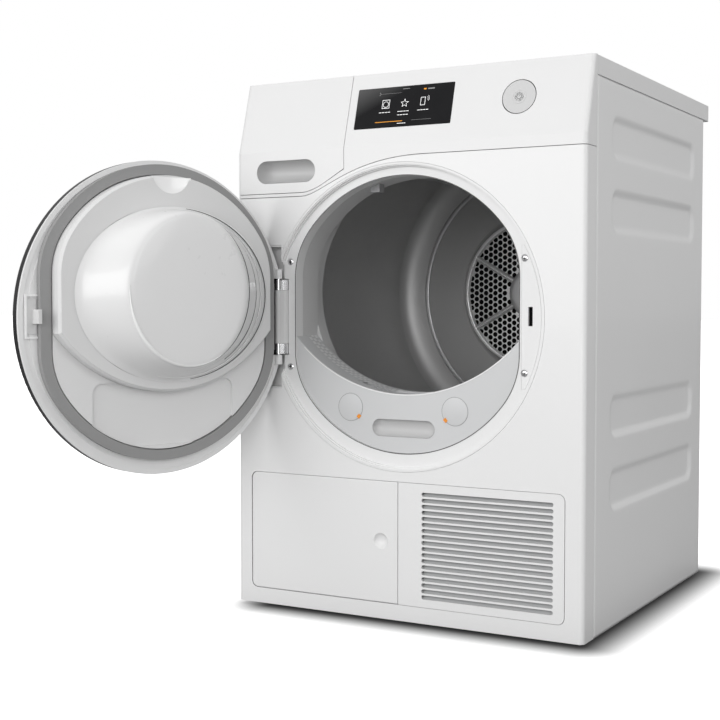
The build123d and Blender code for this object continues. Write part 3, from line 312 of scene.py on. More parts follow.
def mesh_of(name, points, faces, place=None):
    """A mesh from millimetre points, welded, with its faces outward."""
    mesh = bpy.data.meshes.new(name)
    mesh.from_pydata([Vector(p) * MM for p in points], [], faces)
    work = bmesh.new()
    work.from_mesh(mesh)
    bmesh.ops.remove_doubles(work, verts=work.verts, dist=1e-6)
    bmesh.ops.recalc_face_normals(work, faces=work.faces)
    work.to_mesh(mesh)
    work.free()
    if place:
        mesh.transform(place)
    return mesh


def rounded(points, radius, steps=4):
    """An open line of 2D points with its inner corners rounded."""
    out = [points[0]]
    for before, here, after in zip(points, points[1:], points[2:]):
        a, b, c = Vector(before), Vector(here), Vector(after)
        reach = min(radius, (a - b).length * 0.45, (c - b).length * 0.45)
        start = b + (a - b).normalized() * reach
        end = b + (c - b).normalized() * reach
        for k in range(steps + 1):
            t = k / steps
            out.append(tuple(start.lerp(b, t).lerp(b.lerp(end, t), t)))
    out.append(points[-1])
    return out


def turned_mesh(name, outline, centre_z, segments=160, closed=True, place=None):
    """An outline of (radius, y) points turned about an axis along Y."""
    points, faces = [], []
    count = len(outline)
    for i in range(segments):
        angle = 2 * math.pi * i / segments
        for r, y in outline:
            points.append((r * math.cos(angle), y, centre_z + r * math.sin(angle)))
    for i in range(segments):
        j = (i + 1) % segments
        for k in range(count if closed else count - 1):
            n = (k + 1) % count
            faces.append((i * count + k, j * count + k, j * count + n, i * count + n))
    return mesh_of(name, points, faces, place)


def ring_stack(name, rings, cap_last=True, cap_first=False, place=None):
    """Closed rings of equal point counts joined into a skin."""
    points = [p for ring in rings for p in ring]
    count = len(rings[0])
    faces = []
    for k in range(len(rings) - 1):
        for i in range(count):
            j = (i + 1) % count
            faces.append((k * count + i, k * count + j, (k + 1) * count + j, (k + 1) * count + i))
    if cap_last:
        faces.append(tuple(range((len(rings) - 1) * count, len(rings) * count)))
    if cap_first:
        faces.append(tuple(reversed(range(count))))
    return mesh_of(name, points, faces, place)


def ellipse_ring(x, z, rx, rz, y, count=120):
    return [(x + rx * math.cos(2 * math.pi * i / count), y, z + rz * math.sin(2 * math.pi * i / count))
            for i in range(count)]


# ---------------------------------------------------------------- geometry node helpers

def node_tree(name, inputs):
    """An empty geometry tree with named inputs; each input is (name, socket kind, value)."""
    tree = bpy.data.node_groups.new(name, "GeometryNodeTree")
    tree.interface.new_socket("Geometry", in_out="OUTPUT", socket_type="NodeSocketGeometry")
    for label, kind, value in inputs:
        socket = tree.interface.new_socket(label, in_out="INPUT", socket_type=kind)
        if value is not None:
            socket.default_value = value
    entry = tree.nodes.new("NodeGroupInput")
    leave = tree.nodes.new("NodeGroupOutput")
    return tree, entry, leave


def run_tree(name, tree, values):
    """The tree's result as a plain mesh; the carrier object is removed."""
    carrier = bpy.data.objects.new(name, bpy.data.meshes.new(name))
    bpy.context.scene.collection.objects.link(carrier)
    modifier = carrier.modifiers.new(name, "NODES")
    modifier.node_group = tree
    for item in tree.interface.items_tree:
        if item.item_type == "SOCKET" and item.in_out == "INPUT" and item.name in values:
            modifier[item.identifier] = values[item.name]
    bpy.context.view_layer.update()
    result = carrier.evaluated_get(bpy.context.evaluated_depsgraph_get())
    mesh = bpy.data.meshes.new_from_object(result)
    carrier.modifiers.clear()
    bpy.data.objects.remove(carrier)
    return mesh


def maths(tree, operation, a, b=None):
    node = tree.nodes.new("ShaderNodeMath")
    node.operation = operation
    for socket, value in zip(node.inputs, (a, b)):
        if value is None:
            continue
        if isinstance(value, (int, float)):
            socket.default_value = value
        else:
            tree.links.new(value, socket)
    return node.outputs[0]


# Height of one row of a hexagonal grid over its pitch
ROW_STEP = math.sqrt(0.75)


def hole_grid_tree():
    """Hexagonal cells in a disc: pierced cells in a band of radii, plain cells elsewhere."""
    tree, entry, leave = node_tree("hole_grid", [
        ("Pitch", "NodeSocketFloat", 0.011), ("Rows", "NodeSocketInt", 27),
        ("Outer Radius", "NodeSocketFloat", 0.139), ("Hole Outer", "NodeSocketFloat", 0.128),
        ("Hole Inner", "NodeSocketFloat", 0.052),
        ("Pierced Cell", "NodeSocketObject", None), ("Plain Cell", "NodeSocketObject", None),
        ("Finish", "NodeSocketMaterial", None)])
    link = tree.links.new
    grid = tree.nodes.new("GeometryNodeMeshGrid")
    wide = maths(tree, "MULTIPLY", entry.outputs["Pitch"], maths(tree, "SUBTRACT", entry.outputs["Rows"], 1))
    link(wide, grid.inputs["Size X"])
    link(maths(tree, "MULTIPLY", wide, ROW_STEP), grid.inputs["Size Y"])
    link(entry.outputs["Rows"], grid.inputs["Vertices X"])
    link(entry.outputs["Rows"], grid.inputs["Vertices Y"])
    place = tree.nodes.new("GeometryNodeInputPosition")
    split = tree.nodes.new("ShaderNodeSeparateXYZ")
    link(place.outputs[0], split.inputs[0])
    row_height = maths(tree, "MULTIPLY", entry.outputs["Pitch"], ROW_STEP)
    row = maths(tree, "DIVIDE", split.outputs["Y"], row_height)
    odd = maths(tree, "FLOORED_MODULO", maths(tree, "ROUND", row), 2.0)
    shift = maths(tree, "MULTIPLY", maths(tree, "MULTIPLY", odd, 0.5), entry.outputs["Pitch"])
    vector = tree.nodes.new("ShaderNodeCombineXYZ")
    link(shift, vector.inputs["X"])
    moved = tree.nodes.new("GeometryNodeSetPosition")
    link(grid.outputs["Mesh"], moved.inputs["Geometry"])
    link(vector.outputs[0], moved.inputs["Offset"])
    length = tree.nodes.new("ShaderNodeVectorMath")
    length.operation = "LENGTH"
    link(place.outputs[0], length.inputs[0])
    radius = length.outputs["Value"]
    inside = maths(tree, "LESS_THAN", radius, entry.outputs["Outer Radius"])
    pierced = maths(tree, "MULTIPLY", maths(tree, "LESS_THAN", radius, entry.outputs["Hole Outer"]),
                    maths(tree, "GREATER_THAN", radius, entry.outputs["Hole Inner"]))
    plain = maths(tree, "MULTIPLY", inside, maths(tree, "SUBTRACT", 1.0, pierced))
    join = tree.nodes.new("GeometryNodeJoinGeometry")
    for socket, choice in (("Pierced Cell", pierced), ("Plain Cell", plain)):
        cell = tree.nodes.new("GeometryNodeObjectInfo")
        link(entry.outputs[socket], cell.inputs["Object"])
        spots = tree.nodes.new("GeometryNodeInstanceOnPoints")
        link(moved.outputs["Geometry"], spots.inputs["Points"])
        link(choice, spots.inputs["Selection"])
        link(cell.outputs["Geometry"], spots.inputs["Instance"])
        link(spots.outputs["Instances"], join.inputs["Geometry"])
    finish_geometry(tree, join.outputs["Geometry"], entry.outputs["Finish"], leave)
    return tree


def finish_geometry(tree, geometry, finish_socket, leave):
    real = tree.nodes.new("GeometryNodeRealizeInstances")
    tree.links.new(geometry, real.inputs["Geometry"])
    coat = tree.nodes.new("GeometryNodeSetMaterial")
    tree.links.new(real.outputs["Geometry"], coat.inputs["Geometry"])
    tree.links.new(finish_socket, coat.inputs["Material"])
    tree.links.new(coat.outputs["Geometry"], leave.inputs["Geometry"])


def array_tree(name):
    """One shape repeated along a straight line."""
    tree, entry, leave = node_tree(name, [
        ("Shape", "NodeSocketObject", None), ("Count", "NodeSocketInt", LOUVRES),
        ("Start", "NodeSocketVector", None), ("Step", "NodeSocketVector", None),
        ("Finish", "NodeSocketMaterial", None)])
    line = tree.nodes.new("GeometryNodeMeshLine")
    tree.links.new(entry.outputs["Count"], line.inputs["Count"])
    tree.links.new(entry.outputs["Start"], line.inputs["Start Location"])
    tree.links.new(entry.outputs["Step"], line.inputs["Offset"])
    shape = tree.nodes.new("GeometryNodeObjectInfo")
    tree.links.new(entry.outputs["Shape"], shape.inputs["Object"])
    spots = tree.nodes.new("GeometryNodeInstanceOnPoints")
    tree.links.new(line.outputs["Mesh"], spots.inputs["Points"])
    tree.links.new(shape.outputs["Geometry"], spots.inputs["Instance"])
    finish_geometry(tree, spots.outputs["Instances"], entry.outputs["Finish"], leave)
    return tree


def helper_object(name, mesh):
    thing = bpy.data.objects.new(name, mesh)
    bpy.context.scene.collection.objects.link(thing)
    return thing


def hex_cell(name, pitch, hole_r, depth, sides=12):
    """A flat hexagon, 12 points round, with or without a round hole that has a wall."""
    rim = []
    for k in range(sides):
        angle = math.radians(30 + 360 * k / sides)
        length = pitch / math.sqrt(3) if k % 2 == 0 else pitch / 2
        rim.append((length * math.cos(angle), length * math.sin(angle), 0))
    if not hole_r:
        return mesh_of(name, rim, [tuple(range(sides))])
    points = list(rim)
    for drop in (0, -depth):
        for k in range(sides):
            angle = math.radians(30 + 360 * k / sides)
            points.append((hole_r * math.cos(angle), hole_r * math.sin(angle), drop))
    faces = []
    for k in range(sides):
        n = (k + 1) % sides
        faces.append((k, n, sides + n, sides + k))
        faces.append((sides + k, sides + n, 2 * sides + n, 2 * sides + k))
    mesh = bpy.data.meshes.new(name)
    mesh.from_pydata([Vector(p) * MM for p in points], [], faces)
    return mesh


# ---------------------------------------------------------------- settings

class DryerFinishSettings(bpy.types.PropertyGroup):
    enamel: FloatVectorProperty(name="Enamel", description="Colour of the cabinet's enamel", subtype="COLOR",
                                default=WHITE, min=0, max=1)
    enamel_gloss: FloatProperty(name="Enamel roughness", description="Roughness of the cabinet's enamel",
                                subtype="FACTOR", default=0.34, min=0.05, max=0.9)
    marks: FloatVectorProperty(name="Socket marks", description="Colour of the two socket marks",
                               subtype="COLOR", default=(0.80, 0.27, 0.01), min=0, max=1)


class DryerDrumSettings(bpy.types.PropertyGroup):
    hole_pitch: FloatProperty(name="Hole pitch", description="Distance between the rear wall's holes",
                              subtype="DISTANCE", unit="LENGTH", default=0.0112, min=0.006, max=0.03)
    hole_radius: FloatProperty(name="Hole radius", description="Radius of one hole in the rear wall",
                               subtype="DISTANCE", unit="LENGTH", default=0.0047, min=0.001, max=0.01)
    segments: IntProperty(name="Segments", description="Facets round the drum", default=160, min=48, max=256)


class DryerPanelSettings(bpy.types.PropertyGroup):
    bead_depth: FloatProperty(name="Bead depth", description="How deep the side beads are pressed",
                              subtype="DISTANCE", unit="LENGTH", default=0.0045, min=0.001, max=0.01)
    bead_slope: FloatProperty(name="Bead slope", description="Width of a bead's sloping edge",
                              subtype="DISTANCE", unit="LENGTH", default=0.011, min=0.002, max=0.02)


class DryerStageSettings(bpy.types.PropertyGroup):
    lens: FloatProperty(name="Lens", description="Focal length of the camera", subtype="DISTANCE_CAMERA",
                        default=66.69, min=20, max=200)
    height: FloatProperty(name="Camera height", description="Height of the camera over the floor",
                          subtype="DISTANCE", unit="LENGTH", default=0.4992, min=0.1, max=3)


# ---------------------------------------------------------------- operators

class DRYER_OT_finishes(bpy.types.Operator):
    """Give every frame node its own finish"""
    bl_idname = "dryer.finishes"
    bl_label = "Finishes"

    def execute(self, context):
        settings = context.scene.dryer_finish
        FINISHES["white_enamel"]["colour"] = tuple(settings.enamel)
        FINISHES["white_enamel"]["rough"] = settings.enamel_gloss
        FINISHES["mark_orange"]["colour"] = tuple(settings.marks)
        for name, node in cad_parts.items():
            coat = material(NODE_FINISH[name])
            if not node.material_slots:
                node.data.materials.append(coat)
            for slot in node.material_slots:
                slot.material = coat
        return {"FINISHED"}


def bead_depth_at(y, z, depth, slope):
    """How far the side skin is pressed in at a point, in millimetres."""
    inside = 0.0
    for height in BEAD_HEIGHTS:
        across = abs(z - height) - (BEAD_WIDE - BEAD_R)
        along = abs(y - BEAD_Y) - (BEAD_LONG - BEAD_R)
        far = math.hypot(max(across, 0), max(along, 0)) + min(max(across, along), 0) - BEAD_R
        t = min(1, max(0, -far / slope))
        inside = max(inside, t * t * (3 - 2 * t))
    return depth * inside


class DRYER_OT_side_panels(bpy.types.Operator):
    """Side panels with four soft pressed beads each"""
    bl_idname = "dryer.side_panels"
    bl_label = "Side panels"

    def execute(self, context):
        settings = context.scene.dryer_panels
        depth, slope = settings.bead_depth / MM, settings.bead_slope / MM
        low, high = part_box("side_panel_right")
        y0, y1, z0, z1 = low.y / MM, high.y / MM, low.z / MM, high.z / MM
        wide, tall = 130, 210
        ys = [y0 + (y1 - y0) * i / wide for i in range(wide + 1)]
        zs = [z0 + (z1 - z0) * k / tall for k in range(tall + 1)]
        for side, name in ((1, "side_panel_right"), (-1, "side_panel_left")):
            points, faces = [], []
            for y in ys:
                for z in zs:
                    near = min(y - y0, y1 - y, z1 - z)
                    fold = SHEET * max(0, 1 - near / 2.5) ** 2
                    points.append((side * (SIDE_X - bead_depth_at(y, z, depth, slope) - fold), y, z))
            for i in range(wide):
                for k in range(tall):
                    a = i * (tall + 1) + k
                    quad = (a, a + 1, a + tall + 2, a + tall + 1)
                    faces.append(quad if side < 0 else tuple(reversed(quad)))
            mesh = bpy.data.meshes.new(name + "_skin")
            mesh.from_pydata([Vector(p) * MM for p in points], [], faces)
            piece = add_piece(name + "_skin", mesh, "white_enamel", "cabinet", (name,))
            wall = piece.modifiers.new("sheet", "SOLIDIFY")
            wall.thickness = SHEET * MM
            wall.offset = -1
        return {"FINISHED"}


def spoke_mesh():
    """Six pressed spokes from the hub to the plate's rim."""
    section = [(-5.2, 216.9), (-4.6, 214.6), (-3.0, 213.6), (-1.2, 214.8), (1.2, 214.8), (3.0, 213.6),
               (4.6, 214.6), (5.2, 216.9)]
    count = len(section)
    points, faces = [], []
    for k in range(6):
        angle = math.radians(60 * k + 30)
        along = Vector((math.cos(angle), 0, math.sin(angle)))
        across = Vector((-math.sin(angle), 0, math.cos(angle)))
        base = len(points)
        for r in (46, 133.8):
            for side, y in section:
                spot = along * r + across * side
                points.append((spot.x, y, DRUM_Z + spot.z))
        for i in range(count - 1):
            faces.append((base + i, base + i + 1, base + count + 1 + i, base + count + i))
    return mesh_of("drum_spokes", points, faces)


class DRYER_OT_drum(bpy.types.Operator):
    """Steel drum with its rolled shoulders and pierced rear wall"""
    bl_idname = "dryer.drum"
    bl_label = "Drum"

    def execute(self, context):
        settings = context.scene.dryer_drum
        count = settings.segments
        outside = [(206, -231), (207.2, -231), (207.2, -226), (271, -222), (DRUM_R, -210),
                   (DRUM_R, SHOULDER_Y)]
        inside = [(DRUM_R - SHEET, SHOULDER_Y), (DRUM_R - SHEET, -209.5), (270.5, -220.8), (206, -224.8),
                  (206, -231)]
        outline = rounded(outside, 6) + rounded(inside, 6)[:-1]
        shell = turned_mesh("drum_wall", outline, DRUM_Z, count)
        add_piece("drum_wall", shell, "drum_steel", "drum", ("drum_shell",))
        roll_r, deep = 49, REAR_FLAT_Y - SHOULDER_Y
        middle = DRUM_R - roll_r
        bend = [math.pi / 2 * k / 14 for k in range(15)]
        back = [(middle + roll_r * math.cos(a), SHOULDER_Y + deep * math.sin(a)) for a in bend]
        back += rounded([(230, REAR_FLAT_Y), (150, REAR_FLAT_Y), (138, 217.6), (130, 217.6)], 7)
        face_y = REAR_FLAT_Y - SHEET
        front = rounded([(130, 216.8), (139, 216.8), (151, face_y), (230, face_y)], 7)
        front += [(middle + (roll_r - SHEET) * math.cos(a), SHOULDER_Y + (deep - SHEET) * math.sin(a))
                  for a in reversed(bend)]
        dish = turned_mesh("drum_rear_dish", back + front, DRUM_Z, count)
        add_piece("drum_rear_dish", dish, "dish_steel", "drum", ())
        # A darker sheet laid just in front of the rear wall's flat ring: painted shade.
        flat = turned_mesh("drum_rear_flat", [(232, 238.5), (153, 238.5)], DRUM_Z, count, closed=False)
        add_piece("drum_rear_flat", flat, "painted_shade_steel", "drum", ())
        rise = rounded([(228, 239.2), (230, 236.8), (235, 236.8), (237.4, 238.6)], 1.2)
        bead = turned_mesh("drum_rear_bead", rise, DRUM_Z, count, closed=False)
        add_piece("drum_rear_bead", bead, "stainless", "drum", ())
        pitch = settings.hole_pitch / MM
        cell = hex_cell("pierced_cell", pitch, settings.hole_radius / MM, 1.0)
        pierced = helper_object("pierced_cell", cell)
        plain = helper_object("plain_cell", hex_cell("plain_cell", pitch, 0, 0))
        rows = 2 * int(PLATE_R / (pitch * ROW_STEP)) + 3
        mesh = run_tree("hole_grid", hole_grid_tree(), {
            "Pitch": settings.hole_pitch, "Rows": rows, "Outer Radius": 0.1385 - 0.5 * settings.hole_pitch,
            "Hole Outer": 0.131, "Hole Inner": 0.051, "Pierced Cell": pierced, "Plain Cell": plain,
            "Finish": material("bright_steel")})
        bpy.data.objects.remove(pierced)
        bpy.data.objects.remove(plain)
        stand = Matrix.Translation((0, PLATE_Y * MM, DRUM_Z * MM)) @ Matrix.Rotation(math.radians(90), 4, "X")
        mesh.transform(stand @ Matrix.Rotation(math.radians(30), 4, "Z"))
        add_piece("drum_hole_plate", mesh, "bright_steel", "drum", ("drum_rear",))
        disc = [(0.01, 220.5), (139, 220.5), (139, 221), (0.01, 221)]
        shade = turned_mesh("drum_hole_shadow", disc, DRUM_Z, 96)
        add_piece("drum_hole_shadow", shade, "hole_shadow", "drum", ())
        rim = rounded([(139.6, PLATE_Y), (139.2, 215.4), (134.2, 215.4), (133.4, PLATE_Y)], 0.8)
        ring = turned_mesh("drum_plate_rim", rim, DRUM_Z, count, closed=False)
        add_piece("drum_plate_rim", ring, "bright_steel", "drum", ())
        dome = rounded([(0.01, 211.6), (20, 211.6), (40, 212.4), (47, 213.6), (48.5, PLATE_Y)], 3)
        hub = turned_mesh("drum_hub", dome, DRUM_Z, 72, closed=False)
        add_piece("drum_hub", hub, "stainless", "drum", ())
        add_piece("drum_spokes", spoke_mesh(), "bright_steel", "drum", ())
        return {"FINISHED"}


# Height over the frame's face, centre and half-widths of each ring of the bowl
BOWL_LINE = [(21, 8, 507, 151.4, 126.4), (29.3, 8, 507, 151.4, 126.4), (29.6, -7.5, 507, 170, 130),
             (30.6, -7, 507.2, 166.5, 128.6), (33, -6, 507.8, 160, 126.4), (38, -4.5, 508.8, 151, 124),
             (45, -3, 510, 142, 121.8), (52, -2, 511, 134, 120), (60, -1, 512, 125, 118),
             (68, 0, 512.6, 116, 116), (73.5, 0, 513, 109.8, 114.4), (77.5, 0, 513, 104.5, 112),
             (79.4, 0, 513, 100, 109), (80, 0, 513, 94, 104)]

# Lines laid on the bowl, painted dark lines and painted glints that stand in for the clear bowl's refractions
# and highlights: finish, how far up the wall, half width, and the angles where each starts and ends
BOWL_STRIPS = {
    "bowl_edge_outer": ("bowl_painted_dark_line", 0.0, 1.1, 96, 262),
    "bowl_edge_inner": ("bowl_painted_dark_line", 0.34, 0.6, 70, 236),
    "bowl_edge_crown": ("bowl_painted_dark_line", 0.93, 0.5, 100, 246),
    "bowl_glint_low": ("white_and_painted_glint", 0.15, 1.0, 80, 285),
    "bowl_glint_high": ("white_and_painted_glint", 0.55, 1.4, 92, 272),
    "bowl_glint_crown": ("white_and_painted_glint", 1.0, 2.4, -122, 4),
}
# Height, centre and half-widths of the bowl's wall at its foot and at its crown
WALL_FOOT = Vector((31.6, -6.6, 507.4, 164, 127.6))
WALL_CROWN = Vector((78.6, 0, 513, 103, 110.8))


def bowl_rings(inset):
    """Rings of the bowl from its foot to its crown."""
    rings = []
    for height, x, z, rx, rz in BOWL_LINE:
        rings.append(ellipse_ring(x, z, rx - inset, rz - inset, DOOR_Y + height - inset, 144))
    height, x, z, rx, rz = BOWL_LINE[-1]
    for k in (0.7, 0.45, 0.2, 0.02):
        rings.append(ellipse_ring(x, z, rx * k, rz * k, DOOR_Y + height + 0.2 * (1 - k) - inset, 144))
    return rings


def bowl_strip(name, part, wide, start, end, steps=60):
    """A painted dark line or painted glint round the bowl's wall that thins out towards its ends."""
    height, x, z, rx, rz = WALL_FOOT.lerp(WALL_CROWN, part)
    bulge = -7.5 * math.sin(math.pi * part) if part < 0.9 else 0
    points = []
    for k in range(steps + 1):
        angle = math.radians(start + (end - start) * k / steps)
        swell = math.sin(math.pi * k / steps) * wide + 0.05
        for step in (-swell, swell):
            points.append((x + (rx + bulge + step) * math.cos(angle), DOOR_Y + height - step + 0.5,
                           z + (rz + bulge * 0.2 + step) * math.sin(angle)))
    faces = [(2 * k, 2 * k + 1, 2 * k + 3, 2 * k + 2) for k in range(steps)]
    return mesh_of(name, points, faces, DOOR_TURN)


def scoop_mesh():
    """A half-round dish pressed into the top of the door's inner panel."""
    rings, steps = 8, 40
    points = []
    for k in range(rings + 1):
        r = 34.2 * (1 - k / rings) + 0.3
        drop = 4.7 * (1 - (r / 34.6) ** 2) ** 0.7
        for i in range(steps + 1):
            angle = math.radians(180 + 180 * i / steps)
            points.append((r * math.cos(angle), DOOR_Y + 29 - 0.1 - drop, 680.5 + r * 0.72 * math.sin(angle)))
    row = steps + 1
    faces = [(k * row + i, k * row + i + 1, (k + 1) * row + i + 1, (k + 1) * row + i)
             for k in range(rings) for i in range(steps)]
    return mesh_of("scoop_cup", points, faces, DOOR_TURN)


def latch_mesh():
    """Three flat bars round the latch: below it, above it and on its outer side."""
    x0, x1, z0, z1 = 205.4, 224.4, 445, 507
    wall_x, low, high = 221.6, 448, 504
    points, faces = [], []
    for left, right, bottom, top in ((x0, x1, z0, low), (x0, x1, high, z1), (wall_x, x1, low, high)):
        base = len(points)
        for y in (DOOR_Y + 0.2, DOOR_Y + 2.6):
            points += [(left, y, bottom), (right, y, bottom), (right, y, top), (left, y, top)]
        faces += [(base, base + 3, base + 2, base + 1), (base + 4, base + 5, base + 6, base + 7)]
        for k in range(4):
            n = (k + 1) % 4
            faces.append((base + k, base + n, base + 4 + n, base + 4 + k))
    return mesh_of("latch_surround", points, faces, DOOR_TURN)


class DRYER_OT_door_bowl(bpy.types.Operator):
    """Pale bowl of the door with its painted dark lines and painted glints, the scoop at the panel's top and
    the latch's bars
    """
    bl_idname = "dryer.door_bowl"
    bl_label = "Door bowl"

    def execute(self, context):
        outer = bowl_rings(0)
        inner = bowl_rings(2.4)
        skin = ring_stack("bowl_clear", list(reversed(inner)) + outer, True, True, DOOR_TURN)
        add_piece("bowl_clear", skin, "clear_bowl", "door", ("door_bowl",))
        # Each strip is a painted dark line or a painted glint on the bowl's wall.
        for name, (coat, *shape) in BOWL_STRIPS.items():
            piece = add_piece(name, bowl_strip(name, *shape), coat, "door", ())
            wall = piece.modifiers.new("line", "SOLIDIFY")
            wall.thickness = 0.8 * MM
            wall.offset = 0
        # The scoop takes the bright white, lighter than the grey panel round it, as a painted highlight; the
        # latch's bars beside it are white of their own.
        add_piece("scoop_cup", scoop_mesh(), "white_and_painted_glint", "door", ())
        add_piece("latch_surround", latch_mesh(), "white_and_painted_glint", "door", ())
        return {"FINISHED"}


# Foot of the fascia's tilted face, the way up it and the way out of it
SLOPE_FOOT = Vector((0, -318, 736))
SLOPE_UP = Vector((0, 0.2702522, 0.9627735))
SLOPE_OUT = Vector((0, -SLOPE_UP.z, SLOPE_UP.y))
BUTTON = (188, 60.8)


def on_slope(u, s, lift):
    """A point on the fascia's tilted face: across, up the slope, and out of it, in millimetres."""
    return SLOPE_FOOT + Vector((u, 0, 0)) + SLOPE_UP * s + SLOPE_OUT * lift


class Strokes:
    """Flat lines of even width drawn on the fascia."""

    def __init__(self, lift):
        self.lift = lift
        self.points = []
        self.faces = []

    def line(self, path, width, closed=False):
        pairs = list(zip(path, path[1:] + path[:1])) if closed else list(zip(path, path[1:]))
        for a, b in pairs:
            start, end = Vector(a), Vector(b)
            along = (end - start).normalized()
            side = Vector((-along.y, along.x)) * width / 2
            start, end = start - along * width * 0.3, end + along * width * 0.3
            base = len(self.points)
            for spot in (start - side, end - side, end + side, start + side):
                self.points.append(on_slope(spot.x, spot.y, self.lift))
            self.faces.append((base, base + 1, base + 2, base + 3))

    def arc(self, x, s, r, width, start=0, end=360, steps=28):
        path = [(x + r * math.cos(math.radians(start + (end - start) * k / steps)),
                 s + r * math.sin(math.radians(start + (end - start) * k / steps))) for k in range(steps + 1)]
        self.line(path, width)

    def piece(self, name, finish_name, body, slot):
        mesh = bpy.data.meshes.new(name)
        mesh.from_pydata([p * MM for p in self.points], [], self.faces)
        return add_piece(name, mesh, finish_name, body, ())


class DRYER_OT_display(bpy.types.Operator):
    """Signs on the display glass and on the power button"""
    bl_idname = "dryer.display"
    bl_label = "Display signs"

    def execute(self, context):
        white = Strokes(0.14)
        white.line([(-39, 59), (-26.8, 59), (-26.8, 72.4), (-39, 72.4)], 0.7, True)
        white.arc(-32.9, 65.2, 4.6, 0.6)
        star = []
        for k in range(10):
            r = 6.6 if k % 2 == 0 else 2.9
            angle = math.radians(90 + 36 * k)
            star.append((-0.5 + r * math.cos(angle), 65.2 + r * math.sin(angle)))
        white.line(star, 0.6, True)
        white.line([(27, 60), (27, 72.4), (34.2, 72.4), (34.2, 60)], 0.7, True)
        white.arc(35.4, 70.2, 3.4, 0.5, -40, 50, 8)
        white.arc(35.4, 70.2, 5.6, 0.5, -40, 50, 8)
        bars = ((-33, 52.2, 20), (-0.9, 52.2, 20), (-0.9, 46.6, 19), (33, 52.1, 19), (-1.5, 32.8, 15))
        for x, s, width in bars:
            dashes = 4
            step = width / dashes
            for k in range(dashes):
                start = x - width / 2 + k * step
                white.line([(start, s), (start + step * 0.72, s)], 0.9)
        white.piece("display_signs", "icon_white", "cabinet", "display_black")
        grey = Strokes(0.14)
        grey.line([(-44, 82.8), (-8, 82.8)], 0.35)
        grey.line([(15, 36.8), (48, 36.8)], 0.35)
        grey.line([(-6, 88.8), (5, 88.8)], 0.9)
        grey.line([(-46, 80.6), (-43.6, 83), (-46, 85.4)], 0.7)
        for start in (37.5, 41.2, 44.9):
            grey.line([(start, 86), (start + 2.4, 86)], 2.0)
        grey.piece("display_lines", "icon_grey", "cabinet", "display_black")
        orange = Strokes(0.14)
        orange.line([(-47.3, 36.6), (-1, 36.6)], 0.9)
        orange.line([(30.6, 86), (33.2, 86)], 2.2)
        orange.piece("display_underline", "icon_orange", "cabinet", "display_black")
        pale = Strokes(0.34)
        pale.arc(*BUTTON, 5.9, 2.2, steps=40)
        pale.piece("button_ring", "white_moulding", "button", "white_plastic")
        sign = Strokes(0.36)
        sign.arc(*BUTTON, 3.6, 0.9, 115, 425, 24)
        sign.line([(BUTTON[0], 61.2), (BUTTON[0], 65.6)], 0.9)
        sign.piece("button_sign", "mark_grey", "button", "pale_grey_plastic")
        return {"FINISHED"}


class DRYER_OT_grille(bpy.types.Operator):
    """Sloping slats behind the lower grille, in a mid grey that is painted shade"""
    bl_idname = "dryer.grille"
    bl_label = "Grille slats"

    def execute(self, context):
        x0, x1 = SLAT_X
        points = [(x0, -313.8, -4.4), (x1, -313.8, -4.4), (x1, -313.8, -3.2), (x0, -313.8, -3.2),
                  (x0, -305, 3.4), (x1, -305, 3.4), (x1, -305, 4.6), (x0, -305, 4.6)]
        faces = [(0, 1, 2, 3), (7, 6, 5, 4), (0, 4, 5, 1), (3, 2, 6, 7), (0, 3, 7, 4), (1, 5, 6, 2)]
        slat = mesh_of("slat", points, faces)
        shape = helper_object("slat", slat)
        pitch = (LOUVRE_HIGH - LOUVRE_LOW - LOUVRE_H) / (LOUVRES - 1)
        mesh = run_tree("slats", array_tree("slats"), {
            "Shape": shape, "Count": LOUVRES, "Start": (0, 0, (LOUVRE_LOW + LOUVRE_H / 2) * MM),
            "Step": (0, 0, pitch * MM), "Finish": material("louvre_painted_shade")})
        bpy.data.objects.remove(shape)
        add_piece("grille_slats", mesh, "louvre_painted_shade", "cabinet", ())
        return {"FINISHED"}


def hollow_rings(x0, x1, z0, z1, y, depth, reach, count=96):
    """Rings of a smooth hollow with half-round ends, from its rim to its floor."""
    half = (z1 - z0) / 2
    rings = []
    for k in range(9):
        t = k / 8
        shrink = reach * (1 - math.cos(t * math.pi / 2)) + 0.2
        sink = depth * math.sin(t * math.pi / 2)
        r = half - shrink
        ring = []
        for i in range(count):
            angle = 2 * math.pi * (i + 0.5) / count
            centre = x1 - half if math.cos(angle) > 0 else x0 + half
            ring.append((centre + r * math.cos(angle), y + sink, (z0 + z1) / 2 + r * math.sin(angle)))
        rings.append(ring)
    return rings


def arc_band(name, x, z, inner, outer, y, start, end, steps=72):
    """A flat arc between two radii, facing the front."""
    points = []
    for k in range(steps + 1):
        angle = math.radians(start + (end - start) * k / steps)
        for r in (inner, outer):
            points.append((x + r * math.cos(angle), y, z + r * math.sin(angle)))
    faces = [(2 * k, 2 * k + 1, 2 * k + 3, 2 * k + 2) for k in range(steps)]
    return mesh_of(name, points, faces)


def port_reach(r, along_x, along_z):
    """How far the port's outline lies from its middle in one direction, for an outline of radius r."""
    side, soft = r - PORT_CUT, r - PORT_SOFT
    knee_x = side - soft
    knee_z = math.sqrt(PORT_SOFT ** 2 - knee_x ** 2)
    reach = side / max(along_x, 1e-6)
    if along_z * reach <= knee_z:
        return reach
    if along_z * knee_x > along_x * knee_z:
        return r
    near = along_x * knee_x + along_z * knee_z
    return near + math.sqrt(near ** 2 - PORT_SOFT ** 2 + soft ** 2)


